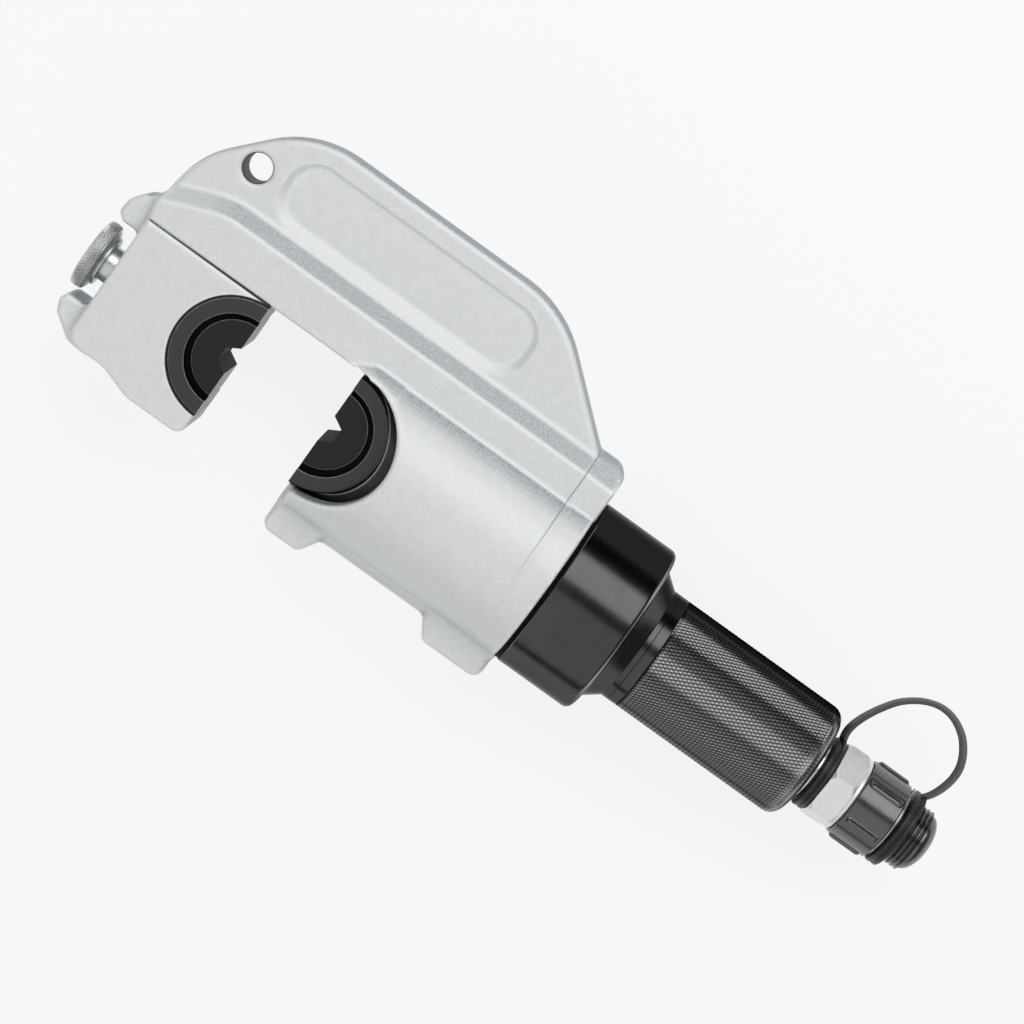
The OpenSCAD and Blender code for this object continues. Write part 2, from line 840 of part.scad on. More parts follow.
module poppet_spring() {
    mean_r = chamber_r - poppet_wire_d / 2 - soft_gap;
    color("gray") place()
        coil(mean_r, poppet_wire_d, poppet_coil_gap, washer_x - shank_len + guide_disc_t + face_gap,
            poppet_head_x - face_gap);
}

module poppet() {
    head_end_x = poppet_head_x + poppet_head_len;
    color("goldenrod") place() union() {
        bar(poppet_tail_r, washer_x - shank_len, poppet_head_x);
        bar(poppet_r, poppet_head_x, head_end_x);
        bar(poppet_nose_r, head_end_x, head_end_x + poppet_nose_len);
    }
}

module dust_plug() {
    rib_pitch = plug_ribbed_len / plug_rib_n;
    tip_x = plug_neck_x - plug_stem_len;
    dome_x = plug_head_x + plug_ribbed_len;
    color([0.1, 0.1, 0.1]) place() difference() {
        turned(concat([[0, tip_x], [plug_stem_r - plug_tip_in, tip_x],
            [plug_stem_r, tip_x + plug_tip_in], [plug_stem_r, plug_neck_x],
            [plug_neck_r, plug_neck_x], [plug_neck_r, plug_head_x], [plug_head_r, plug_head_x]],
            [for (i = [0:plug_rib_n - 1]) each [
                [plug_head_r, plug_head_x + rib_pitch * (i + plug_rib_shares[0])],
                [plug_head_r - plug_rib_groove, plug_head_x + rib_pitch * (i + plug_rib_shares[1])],
                [plug_head_r - plug_rib_groove, plug_head_x + rib_pitch * (i + plug_rib_shares[2])]]],
            [for (i = [0:arc_steps]) let (a = 90 * i / arc_steps)
                [dome_r * cos(a), dome_x + (dome_end_x - dome_x) * sin(a)]]));
        tube(plug_stem_r + over, plug_stem_r - plug_ring_d - seat_fit,
            plug_neck_x - plug_ring_in - plug_ring_d, plug_neck_x - plug_ring_in);
    }
}

module plug_o_ring() {
    color("black") place()
        seal_ring(plug_stem_r, plug_ring_d, plug_neck_x - plug_ring_in - plug_ring_d / 2);
}

// Point of the strap's route at a share of its run, on a smooth curve through the listed shares
function route_point(i) =
    let (n = len(strap_shares) - 1, k = min(floor(i), n - 1), t = i - k)
    let (a = strap_shares[max(k - 1, 0)], b = strap_shares[k])
    let (c = strap_shares[k + 1], d = strap_shares[min(k + 2, n)])
    let (square = (a * 2 - b * 5 + c * 4 - d) / 2, cube = (b * 3 - a - c * 3 + d) / 2)
    let (s = b + (c - a) * t / 2 + square * pow(t, 2) + cube * pow(t, 3))
    let (x0 = eye_front_x + eye_w / 2, x1 = eye_rear_x + eye_w / 2)
    [x0 + s.x * (x1 - x0), eye_front_r - strap_root_drop + s.y * strap_h];

// Flat band of the strap, which turns on its way to the plug
module strap_band() {
    rings = (len(strap_shares) - 1) * strap_steps + 1;
    pts = [for (i = [0:rings - 1])
        let (p = route_point(i / strap_steps), step = 1 / strap_steps)
        let (fore = route_point(min(i + 1, rings - 1) * step), aft = route_point(max(i - 1, 0) * step))
        let (way = unit(fore - aft), out = [-way.y, way.x], turn = strap_twist * i / (rings - 1))
        for (j = [0:3])
            let (w = (j == 0 || j == 3 ? -strap_w : strap_w) / 2, h = (j < 2 ? -strap_t : strap_t) / 2)
            let (side = h * cos(turn) - w * sin(turn), up = h * sin(turn) + w * cos(turn))
            [p.x + out.x * side, p.y + out.y * side, up]];
    polyhedron(pts, tube_faces(rings, 4));
}

module cap_strap() {
    color([0.25, 0.26, 0.27]) place() union() {
        tube(eye_front_r, coupler_neck_r + soft_gap, eye_front_x, eye_front_x + eye_w);
        tube(eye_rear_r, plug_neck_r + soft_gap, eye_rear_x, eye_rear_x + eye_w);
        strap_band();
    }
}

module latch_bush() {
    color("lightgray") place() difference() {
        turned([[0, head_x - bush_head_len], [bush_r - bush_edge, head_x - bush_head_len],
            [bush_r, head_x - bush_head_len + bush_edge], [bush_r, head_x], [bush_shank_r, head_x],
            [bush_shank_r, bush_end_x], [0, bush_end_x]]);
        bar(pin_r + running_fit, head_x - bush_head_len - over, bush_end_x + over);
    }
}

module latch_pin() {
    tip_x = upper_back_x + pin_reach;
    color("silver") place() difference() {
        union() {
            turned([[0, pin_end_x], [pin_r, pin_end_x], [pin_r, tip_x - pin_tip_chamfer],
                [pin_r - pin_tip_chamfer, tip_x], [0, tip_x]]);
            bar(pin_collar_r, pin_collar_x, pin_collar_x + pin_collar_t);
        }
        bar(screw_r + seat_fit, pin_end_x - over, knob_face_x + screw_len + seat_fit);
    }
}

module latch_spring() {
    mean_r = (pin_r + bush_shank_r) / 2;
    color("gray") place()
        coil(mean_r, latch_wire_d, latch_coil_gap, bush_end_x + face_gap, pin_collar_x - face_gap);
}

module latch_knob() {
    bevel_x = knob_back_x - knob_bevel;
    color("silver") place() difference() {
        turned([[0, knob_face_x], [knob_r - knob_face_bevel, knob_face_x],
            [knob_r - knob_crown, knob_face_x + knob_crown], [knob_r, (knob_face_x + bevel_x) / 2],
            [knob_r - knob_crown, bevel_x],
            [knob_back_r, knob_back_x], [0, knob_back_x]]);
        bar(knob_well_r, knob_floor_x, knob_back_x + over);
        bar(pin_r + seat_fit, pin_end_x, knob_back_x);
        bar(screw_r + seat_fit, knob_face_x - over, pin_end_x + over);
        bar(screw_head_r + seat_fit, knob_face_x - over, knob_face_x + screw_head_t);
    }
}

module knob_screw() {
    color("silver") place() union() {
        bar(screw_head_r, knob_face_x, knob_face_x + screw_head_t);
        bar(screw_r, knob_face_x + screw_head_t, knob_face_x + screw_len);
    }
}

c_frame();
upper_die();
latch_bush();
latch_spring();
cylinder_base();
base_gasket();
base_o_ring();
spring_rear_plug();
return_spring();
handle();
handle_o_ring();
neck_washer();
coupler_body();
thrust_ring();
nut_retaining_ring();
poppet_guide();
poppet_spring();
cap_strap();
ram();
guide_ring();
backup_ring();
piston_seal();
spring_front_plug();
lower_die();
detent_ball();
detent_spring();
latch_pin();
latch_knob();
knob_screw();
coupler_nut();
dust_plug();
plug_o_ring();
poppet();
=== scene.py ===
"""Looks of a hydraulic crimping head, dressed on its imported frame.

Lengths are millimetres in the tool's own axes: x along the ram from the jaw to the coupler, with zero at the front
face of the base collar, y from the foot lugs to the spine, and z square to the plate of the frame.
"""

import logging
import math
from dataclasses import dataclass, replace
from enum import Enum
from typing import Callable, Dict, List, Optional, Sequence, Tuple

import bmesh
import bpy
import numpy as np
from mathutils import Matrix, Vector


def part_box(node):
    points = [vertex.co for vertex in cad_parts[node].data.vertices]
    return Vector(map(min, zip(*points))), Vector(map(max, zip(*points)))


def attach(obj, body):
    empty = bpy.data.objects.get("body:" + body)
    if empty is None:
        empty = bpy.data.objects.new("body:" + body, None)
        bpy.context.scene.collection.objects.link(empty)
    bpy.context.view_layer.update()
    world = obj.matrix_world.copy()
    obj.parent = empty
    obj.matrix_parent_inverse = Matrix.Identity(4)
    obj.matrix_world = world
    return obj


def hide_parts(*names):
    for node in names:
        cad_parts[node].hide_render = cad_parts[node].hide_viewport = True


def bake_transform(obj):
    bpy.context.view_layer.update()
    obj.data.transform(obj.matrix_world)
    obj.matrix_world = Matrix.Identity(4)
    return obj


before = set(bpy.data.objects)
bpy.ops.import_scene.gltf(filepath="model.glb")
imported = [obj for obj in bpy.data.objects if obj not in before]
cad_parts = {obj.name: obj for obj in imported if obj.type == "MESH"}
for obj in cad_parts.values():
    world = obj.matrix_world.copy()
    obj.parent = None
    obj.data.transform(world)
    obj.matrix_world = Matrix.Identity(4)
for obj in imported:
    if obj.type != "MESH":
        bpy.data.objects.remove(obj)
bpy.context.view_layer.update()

Array = np.ndarray
Socket = bpy.types.NodeSocket
Span = Tuple[float, float]
# A corner is a place in a plane and its rounding, a circle its middle and radius, and a line its ends and its level.
Colour = Tuple[float, float, float]
Place = Tuple[float, float, float]
Corner = Tuple[float, float, float]
Circle = Tuple[float, float, float]
Line = Tuple[float, float, float]
FieldRule = Callable[[Array, Array, Array], Array]
FaceRule = Callable[[Array], Array]

MM = 0.001
FULL_TURN = 2 * math.pi
LOG = logging.getLogger("crimping_head")

# Millimetres that count as none, heights that count as level, and the half angle of a corner that counts as straight.
TINY = 1e-9
LEVEL = 1e-6
STRAIGHT = 1.57

# What the finishes share: spans of noise and of normals, what they give, and painted lines, whose lengths are metres.
# Normals place painted shade on sides and on leaning faces, noise breaks up painted edge highlights, and the bore's
# values give painted shade in a hole.
UNIT = (0.0, 1.0)
MOTTLE_NOISE = (0.75, 1.25)
ROUGH_NOISE = (0.12, 0.4)
TURNED_STRETCH = (1.0, 0.02, 0.02)
SIDE_SHADE_SPAN = (0.05, 0.6)
LEAN_SHADE_NOISE, LEAN_SHADE_PATCH = (0.36, 0.62), (1.0, 0.4)
EDGE_HIGHLIGHT_CLOUD = (0.35, 0.6)
EDGE_HIGHLIGHT_NOISE, EDGE_HIGHLIGHT_PATCH = (0.36, 0.56), (0.25, 1.0)
FLAT_BEND = 0.5
SEAM_COLOUR = (0.05, 0.055, 0.06)
SEAM_HALF = (0.00012, 0.0004)
SEAM_BLUR = (-0.0001, 0.0002)
SEAM_ENDS = (0.001, 0.0002)
STEP_COLOUR = (0.3, 0.34, 0.37)
STEP_HALF = (0.0001, 0.00035)
STEP_SHARE = 0.8
# Painted shade inside the hanging hole.
BORE_SHADE_COLOUR = (0.03, 0.032, 0.034)
BORE_SHADE_BLUR = 0.00025
BORE_SHADE_SHARE = 0.9


class Texture(Enum):
    """How the fine detail of a finish runs."""

    GRAIN = "even grain"
    TURNED = "fine rings about the ram axis"
    # The forging's darker sides are painted shade, made in the finish from the faces' normals.
    FORGED = "blasted faces with darker sides"


class Shading:
    """One material's node tree, with short calls for the nodes that the finishes use."""

    def __init__(self, name: str) -> None:
        """Starts a material with its plain shader.

        Args:
            name: Name of the material.
        """
        self.material = bpy.data.materials.new(name)
        self.material.use_nodes = True
        self.nodes = self.material.node_tree.nodes
        self.links = self.material.node_tree.links
        self.shader = self.nodes["Principled BSDF"]

    def feed(self, target: Socket, source: object) -> None:
        """Feeds an input from another socket, or sets it to a number or a colour.

        Args:
            target: The input.
            source: Socket, number or colour.
        """
        if isinstance(source, Socket):
            self.links.new(source, target)
        else:
            target.default_value = (*source, 1.0) if isinstance(source, tuple) else source

    def put(self, name: str, source: object) -> None:
        """Feeds the shader's input of that name."""
        self.feed(self.shader.inputs[name], source)

    def coordinates(self, output: str) -> Socket:
        """Gives one output of Texture Coordinate, such as Object or Normal."""
        return self.nodes.new("ShaderNodeTexCoord").outputs[output]

    def stretched(self, source: Socket, scale: Sequence[float]) -> Socket:
        """Scales a vector.

        Args:
            source: The vector.
            scale: Factors of its x, y and z.

        Returns:
            The scaled vector.
        """
        node = self.nodes.new("ShaderNodeMapping")
        node.inputs["Scale"].default_value = scale
        self.feed(node.inputs["Vector"], source)
        return node.outputs["Vector"]

    def noise(self, vector: Socket, scale: float, detail: float = 3.0) -> Socket:
        """Gives smooth noise from 0 to 1.

        Args:
            vector: Place that the noise reads, in metres.
            scale: Waves per metre.
            detail: Octaves of finer noise.

        Returns:
            The noise's value.
        """
        node = self.nodes.new("ShaderNodeTexNoise")
        for name, source in (("Vector", vector), ("Scale", scale), ("Detail", detail)):
            self.feed(node.inputs[name], source)
        return node.outputs[0]

    def ranged(self, value: Socket, span: Span, onto: Span = UNIT) -> Socket:
        """Maps a span of values onto another, held at both ends.

        Args:
            value: Value to map.
            span: Values at the ends.
            onto: What the ends give.

        Returns:
            The mapped value.
        """
        node = self.nodes.new("ShaderNodeMapRange")
        for target, source in zip(node.inputs, (value, *span, *onto)):
            self.feed(target, source)
        return node.outputs[0]

    def combined(self, first: Socket, second: object, operation: str = "ADD") -> Socket:
        """Joins a value and another value or a number by a Math operation.

        Args:
            first: The value.
            second: The other value, or a number.
            operation: The operation's name.

        Returns:
            The result.
        """
        node = self.nodes.new("ShaderNodeMath")
        node.operation = operation
        for target, source in zip(node.inputs, (first, second)):
            self.feed(target, source)
        return node.outputs[0]

    def times(self, first: Socket, second: object) -> Socket:
        """Multiplies a value by another value or a number."""
        return self.combined(first, second, "MULTIPLY")

    def away(self, value: Socket, middle: float) -> Socket:
        """Gives how far a value lies from a middle, on either side."""
        return self.combined(self.combined(value, -middle), 0.0, "ABSOLUTE")

    def parts(self, vector: Socket) -> Sequence[Socket]:
        """Splits a vector.

        Args:
            vector: The vector.

        Returns:
            Its x, y and z.
        """
        split = self.nodes.new("ShaderNodeSeparateXYZ")
        self.feed(split.inputs[0], vector)
        return split.outputs

    def mixed(self, factor: Socket, low: object, high: object) -> Socket:
        """Mixes two colours; the node's inputs from 6 on and its output 2 are those for colours.

        Args:
            factor: Share of the second colour.
            low: First colour, or its socket.
            high: Second colour, or its socket.

        Returns:
            The mixed colour.
        """
        node = self.nodes.new("ShaderNodeMix")
        node.data_type = "RGBA"
        for target, source in zip((node.inputs[0], *node.inputs[6:8]), (factor, low, high)):
            self.feed(target, source)
        return node.outputs[2]

    def steepness(self) -> Socket:
        """Gives how far a face looks up or down: 1 on the plate's faces, 0 on its sides."""
        return self.combined(self.parts(self.coordinates("Normal"))[2], 0.0, "ABSOLUTE")

    def bumped(self, height: Socket, distance: float) -> None:
        """Adds a bump to the shader.

        Args:
            height: Height from 0 to 1.
            distance: Height of 1 in metres.
        """
        node = self.nodes.new("ShaderNodeBump")
        node.inputs["Distance"].default_value = distance
        self.feed(node.inputs["Height"], height)
        self.put("Normal", node.outputs["Normal"])


@dataclass(frozen=True)
class Finish:
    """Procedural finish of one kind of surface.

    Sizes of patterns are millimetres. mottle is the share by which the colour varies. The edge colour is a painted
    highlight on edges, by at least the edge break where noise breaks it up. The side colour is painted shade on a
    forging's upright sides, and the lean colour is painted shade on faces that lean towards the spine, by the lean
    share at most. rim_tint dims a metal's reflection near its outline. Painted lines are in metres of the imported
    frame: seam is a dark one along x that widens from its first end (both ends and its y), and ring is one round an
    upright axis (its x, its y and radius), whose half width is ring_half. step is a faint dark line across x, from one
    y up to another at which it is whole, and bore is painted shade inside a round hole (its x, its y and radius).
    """

    name: str
    slot: str
    colour: Colour
    metallic: float = 0.0
    roughness: float = 0.5
    rough_spread: float = 0.06
    mottle: float = 0.12
    mottle_size: float = 9.0
    grain: float = 0.02
    grain_size: float = 0.5
    ior: float = 1.5
    texture: Texture = Texture.GRAIN
    edge_highlight_colour: Optional[Colour] = None
    edge_highlight_span: Span = (0.53, 0.62)
    edge_highlight_break: float = 0.4
    side_shade_colour: Optional[Colour] = None
    lean_shade_colour: Optional[Colour] = None
    lean_shade_span: Span = (0.5, 0.8)
    lean_shade_share: float = 1.0
    rim_tint: float = 1.0
    seam: Optional[Line] = None
    ring: Optional[Circle] = None
    ring_colour: Colour = (0.3, 0.3, 0.3)
    ring_half: Span = (0.00012, 0.0003)
    step: Optional[Line] = None
    bore: Optional[Circle] = None

    def material(self) -> bpy.types.Material:
        """Gives the finish's material, made once.

        Returns:
            A material whose colour, roughness and bump come from noise on Object coordinates.
        """
        known = bpy.data.materials.get(self.name)
        if known:
            return known
        shading = Shading(self.name)
        place = shading.coordinates("Object")
        cloud = shading.noise(place, 1 / (self.mottle_size * MM))
        fine = self._fine(shading, place)
        rough = (self.roughness - self.rough_spread, self.roughness + self.rough_spread)
        shading.put("Metallic", self.metallic)
        shading.put("IOR", self.ior)
        shading.put("Specular Tint", (self.rim_tint, self.rim_tint, self.rim_tint))
        shading.put("Base Color", self._coloured(shading, cloud, fine))
        shading.put("Roughness", shading.ranged(shading.times(cloud, fine), ROUGH_NOISE, rough))
        shading.bumped(fine, self.grain * MM)
        return shading.material

    def _fine(self, shading: Shading, place: Socket) -> Socket:
        """Gives the fine detail: even grain, or lines that vary along the ram axis alone.

        Args:
            shading: The material's nodes.
            place: Object coordinates.

        Returns:
            Noise from 0 to 1.
        """
        if self.texture is Texture.TURNED:
            place = shading.stretched(place, TURNED_STRETCH)
        return shading.noise(place, 1 / (self.grain_size * MM), detail=2.0)

    def _coloured(self, shading: Shading, cloud: Socket, fine: Socket) -> Socket:
        """Gives the colour: mottled, with painted shade on sides and on faces that lean towards the spine, painted
        highlights on edges, and painted lines.

        A forging's painted edge highlights go over its painted lean shade, and other edge highlights under it.

        Args:
            shading: The material's nodes.
            cloud: Broad noise.
            fine: Noise of the fine detail.

        Returns:
            The colour.
        """
        forged = self.texture is Texture.FORGED
        low = tuple(c * (1 - self.mottle) for c in self.colour)
        high = tuple(min(c * (1 + self.mottle), 1.0) for c in self.colour)
        colour = shading.mixed(shading.ranged(shading.combined(cloud, fine), MOTTLE_NOISE), low, high)
        # Painted shade on upright sides.
        if self.side_shade_colour:
            colour = shading.mixed(shading.ranged(shading.steepness(), SIDE_SHADE_SPAN), self.side_shade_colour, colour)
        # Painted highlights on edges, under the painted lean shade.
        if self.edge_highlight_colour and not forged:
            colour = shading.mixed(self._edge_highlight(shading, cloud, fine), colour, self.edge_highlight_colour)
        # Painted shade on faces that lean towards the spine.
        if self.lean_shade_colour:
            colour = shading.mixed(self._lean_shade(shading, fine), colour, self.lean_shade_colour)
        # A forging's painted highlights on edges and creases, over its painted lean shade.
        if self.edge_highlight_colour and forged:
            colour = shading.mixed(self._edge_highlight(shading, cloud, fine), colour, self.edge_highlight_colour)
        for mark, line, paint in ((self.seam, self._seam_line, SEAM_COLOUR),
                                  (self.ring, self._ring_line, self.ring_colour),
                                  (self.step, self._step_line, STEP_COLOUR),
                                  (self.bore, self._bore_shade, BORE_SHADE_COLOUR)):
            if mark:
                colour = shading.mixed(line(shading), colour, paint)
        return colour

    def _lean_shade(self, shading: Shading, fine: Socket) -> Socket:
        """Gives the share of painted shade on faces that lean towards the spine, patchy on a forging.

        Args:
            shading: The material's nodes.
            fine: Noise of the fine detail.

        Returns:
            Share from 0 to lean_shade_share.
        """
        toward = shading.parts(shading.coordinates("Normal"))[1]
        lean = shading.ranged(toward, self.lean_shade_span, (0.0, self.lean_shade_share))
        if self.texture is Texture.FORGED:
            lean = shading.times(lean, shading.ranged(fine, LEAN_SHADE_NOISE, LEAN_SHADE_PATCH))
        return lean

    def _edge_highlight(self, shading: Shading, cloud: Socket, fine: Socket) -> Socket:
        """Gives where edges get a painted highlight: sharp ones, and a forging's creases too, broken up by noise.

        Args:
            shading: The material's nodes.
            cloud: Broad noise, which breaks up most edges.
            fine: Noise of the fine detail, which breaks up a forging's.

        Returns:
            Share from 0 to 1.
        """
        bend = shading.nodes.new("ShaderNodeNewGeometry").outputs["Pointiness"]
        if self.texture is Texture.FORGED:
            bend = shading.combined(shading.away(bend, FLAT_BEND), FLAT_BEND)
            broken = shading.ranged(fine, EDGE_HIGHLIGHT_NOISE, EDGE_HIGHLIGHT_PATCH)
        else:
            broken = shading.ranged(cloud, EDGE_HIGHLIGHT_CLOUD, (self.edge_highlight_break, 1.0))
        return shading.times(shading.ranged(bend, self.edge_highlight_span), broken)

    @staticmethod
    def _reach(shading: Shading, circle: Circle) -> Socket:
        """Gives a place's distance from the axis through a circle's middle.

        Args:
            shading: The material's nodes.
            circle: Its x, its y and radius.

        Returns:
            The distance: the root of the sum of both squares.
        """
        places = shading.parts(shading.coordinates("Object"))
        squares = [shading.combined(shading.combined(at, -middle), 2.0, "POWER")
                   for at, middle in zip(places[:2], circle)]
        return shading.combined(shading.combined(*squares), 0.5, "POWER")

    def _ring_line(self, shading: Shading) -> Socket:
        """Gives 1 where a place's distance from the ring's axis is near to its radius."""
        return shading.ranged(shading.away(self._reach(shading, self.ring), self.ring[2]), self.ring_half, (1.0, 0.0))

    def _bore_shade(self, shading: Shading) -> Socket:
        """Gives the share of painted shade inside the bore's circle, and 0 past its blurred edge."""
        edge = (self.bore[2], self.bore[2] + BORE_SHADE_BLUR)
        return shading.ranged(self._reach(shading, self.bore), edge, (BORE_SHADE_SHARE, 0.0))

    def _step_line(self, shading: Shading) -> Socket:
        """Gives up to STEP_SHARE near the step's x, fading out towards its lower y.

        Args:
            shading: The material's nodes.

        Returns:
            Share of the line's colour.
        """
        x, y = shading.parts(shading.coordinates("Object"))[:2]
        near = shading.ranged(shading.away(x, self.step[0]), STEP_HALF, (STEP_SHARE, 0.0))
        return shading.times(near, shading.ranged(y, self.step[1:]))

    def _seam_line(self, shading: Shading) -> Socket:
        """Gives 1 on the seam: where y is nearer to its line than a half width that grows along x.

        Args:
            shading: The material's nodes.

        Returns:
            Share of the line's colour.
        """
        start, end, level = self.seam
        x, y = shading.parts(shading.coordinates("Object"))[:2]
        half = shading.ranged(x, (start, end), SEAM_HALF)
        past = shading.combined(shading.away(y, level), half, "SUBTRACT")
        inside = shading.times(shading.ranged(x, (start, start + SEAM_ENDS[0])),
                               shading.ranged(x, (end, end + SEAM_ENDS[1]), (1.0, 0.0)))
        return shading.times(shading.ranged(past, SEAM_BLUR, (1.0, 0.0)), inside)


# Painted shade on the forging's upright sides, on faces leaning towards the spine and inside the hanging hole; painted
# highlights on its edges and creases.
FORGED_STEEL = Finish("forged_steel_satin", "forged_steel", (0.85, 0.87, 0.86), metallic=0.3, roughness=0.56,
                      rough_spread=0.05, mottle=0.035, mottle_size=3.0, grain=0.06, grain_size=0.6,
                      texture=Texture.FORGED, edge_highlight_colour=(0.98, 0.985, 0.99), edge_highlight_span=(0.508, 0.545),
                      side_shade_colour=(0.48, 0.52, 0.54), lean_shade_colour=(0.3, 0.37, 0.42), lean_shade_span=(0.68, 0.84),
                      lean_shade_share=0.95, seam=(-0.16615, -0.11515, 0.00475), ring=(-0.11515, -0.01845, 0.02255),
                      ring_colour=(0.012, 0.012, 0.012), ring_half=(0.0003, 0.0006), step=(0.00485, -0.0215, 0.0),
                      bore=(-0.14615, 0.03955, 0.00535))
BLACK_OXIDE = Finish("black_oxide_satin", "black_oxide", (0.02, 0.02, 0.021), roughness=0.34, rough_spread=0.04,
                     mottle=0.08, mottle_size=3.0, grain=0.012, grain_size=0.3, ior=1.6)
DIE_PLATE = replace(BLACK_OXIDE, name="die_plate_dark", colour=(0.009, 0.009, 0.0095), roughness=0.45, ior=1.4)
# Painted shade for the dies' groove and the lower die's outer chamfer.
DIE_GROOVE_SHADE = replace(BLACK_OXIDE, name="die_groove_painted_shade", colour=(0.002, 0.002, 0.002), roughness=0.6, ior=1.2)
DIE_CAVITY = replace(BLACK_OXIDE, name="die_cavity_dark", roughness=0.6, ior=1.15)
# Painted highlights for the dies' edge lines.
DIE_EDGE_HIGHLIGHT = Finish("die_edge_painted_highlight", "black_oxide", (0.2, 0.2, 0.2), roughness=0.4, rough_spread=0.04, mottle=0.3,
                  mottle_size=1.5, grain=0.012, grain_size=0.3)
# Its ring is a painted highlight round the rim of the die's saddle.
RAM_BLACK = Finish("ram_black", "black_oxide", (0.018, 0.018, 0.0185), roughness=0.45, rough_spread=0.03,
                   mottle=0.06, mottle_size=3.0, grain=0.012, grain_size=0.3, ring=(-0.07635, -0.01845, 0.0227))
# Painted shade: the collar's top, where its faces lean towards the spine, is darker.
COLLAR_BLACK = Finish("collar_black_turned", "black_steel", (0.08, 0.08, 0.081), metallic=1.0, roughness=0.2,
                      rough_spread=0.04, mottle=0.1, mottle_size=10.0, grain=0.004, grain_size=0.25,
                      texture=Texture.TURNED, lean_shade_colour=(0.02, 0.02, 0.0205), lean_shade_span=(0.54, 0.68),
                      rim_tint=0.5)
# Painted highlights for the collar's front edge and its rear edge line.
COLLAR_EDGE_HIGHLIGHT = Finish("collar_edge_painted_highlight", "black_steel", (0.34, 0.34, 0.34), metallic=1.0, roughness=0.25,
                     rough_spread=0.04, mottle=0.2, mottle_size=6.0, grain=0.004, grain_size=0.25,
                     texture=Texture.TURNED, rim_tint=0.2)
# Painted shade on facets near the top that lean towards the spine, and painted highlights on the knurl's peaks.
KNURL_BLACK = Finish("knurl_black", "knurled_black", (0.009, 0.009, 0.0095), metallic=1.0, roughness=0.2,
                     rough_spread=0.03, mottle=0.1, mottle_size=5.0, grain=0.004, grain_size=0.3,
                     edge_highlight_colour=(0.42, 0.42, 0.425), edge_highlight_span=(0.49, 0.52), edge_highlight_break=1.0,
                     lean_shade_colour=(0.01, 0.01, 0.0105), lean_shade_span=(0.66, 0.8), rim_tint=0.4)
BRIGHT_STEEL = Finish("bright_steel_turned", "bright_steel", (0.72, 0.73, 0.72), metallic=1.0, roughness=0.34,
                      rough_spread=0.07, mottle=0.08, mottle_size=5.0, grain=0.006, grain_size=0.22,
                      texture=Texture.TURNED)
NICKEL = Finish("nickel_plate", "nickel_steel", (0.9, 0.9, 0.88), metallic=0.6, roughness=0.42, rough_spread=0.07,
                mottle=0.05, mottle_size=2.0, grain_size=0.3)
# Painted highlights on the edges and ribs of the nut and the plug.
MOULDED_BLACK = Finish("moulded_black", "black_plastic", (0.01, 0.01, 0.0105), roughness=0.22, mottle=0.15,
                       mottle_size=4.0, grain=0.012, grain_size=0.35, ior=2.1, edge_highlight_colour=(0.3, 0.3, 0.3))
STRAP_RUBBER = Finish("strap_rubber_grey", "strap_rubber", (0.075, 0.08, 0.082), rough_spread=0.08, mottle=0.18,
                      mottle_size=5.0)
EYE_RUBBER = Finish("eye_rubber_black", "strap_rubber", (0.014, 0.014, 0.0145), roughness=0.42, rough_spread=0.08,
                    mottle=0.2, mottle_size=4.0)
SEAL_RUBBER = Finish("seal_rubber_black", "seal_rubber", (0.003, 0.003, 0.003), roughness=0.65, rough_spread=0.08,
                     mottle=0.2, mottle_size=5.0, ior=1.15)
RING_PLASTIC = Finish("ring_plastic_ivory", "ring_plastic", (0.66, 0.62, 0.5), mottle=0.08, mottle_size=6.0,
                      grain=0.01)
SPRING_STEEL = Finish("spring_steel_drawn", "spring_steel", (0.42, 0.42, 0.43), metallic=1.0, roughness=0.34,
                      rough_spread=0.08, mottle=0.15, mottle_size=3.0, grain=0.01)
BRASS = Finish("brass_turned", "valve_brass", (0.68, 0.5, 0.22), metallic=1.0, roughness=0.28, mottle=0.1,
               mottle_size=4.0, grain=0.006, grain_size=0.25, texture=Texture.TURNED)


@dataclass(frozen=True)
class Datum:
    """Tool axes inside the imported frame: where their origin lies, in metres."""

    origin: Place

    @classmethod
    def from_frame(cls) -> "Datum":
        """Takes x from the gasket's rear face, and the ram axis from the handle's middle.

        Returns:
            The tool's axes.
        """
        gasket_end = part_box("base_gasket")[1].x
        low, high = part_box("handle")
        return cls((gasket_end, (low.y + high.y) / 2, (low.z + high.z) / 2))

    def metres(self, points: Array) -> Array:
        """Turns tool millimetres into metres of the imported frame."""
        return np.asarray(points, float) * MM + np.array(self.origin)

    def span(self, node: str) -> Span:
        """Gives where a CAD node starts and ends along the ram axis, in tool millimetres."""
        low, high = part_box(node)
        return (low.x - self.origin[0]) / MM, (high.x - self.origin[0]) / MM


@dataclass
class Skin:
    """A surface: points in tool millimetres, and faces that name them."""

    points: Array
    faces: List[Sequence[int]]

    def joined(self, *others: "Skin") -> "Skin":
        """Gives one skin that holds this one and others.

        Args:
            others: Skins to add.

        Returns:
            The skins' points and faces together.
        """
        points, faces = [self.points], list(self.faces)
        count = len(self.points)
        for other in others:
            faces += (np.array(other.faces) + count).tolist() if other.faces else []
            points.append(other.points)
            count += len(other.points)
        return Skin(np.concatenate(points), faces)


def grid_faces(rows: int, columns: int, wrap_rows: bool, wrap_columns: bool) -> Array:
    """Lists the quads between neighbours of a grid, row by row.

    Args:
        rows: Points along the first parameter.
        columns: Points along the second parameter.
        wrap_rows: Whether the last row meets the first.
        wrap_columns: Whether the last column meets the first.

    Returns:
        Indices of four points for each quad.
    """
    i, j = np.meshgrid(np.arange(rows - (not wrap_rows)), np.arange(columns - (not wrap_columns)), indexing="ij")
    k, m = (i + 1) % rows, (j + 1) % columns
    return np.stack([i * columns + j, k * columns + j, k * columns + m, i * columns + m], -1).reshape(-1, 4)


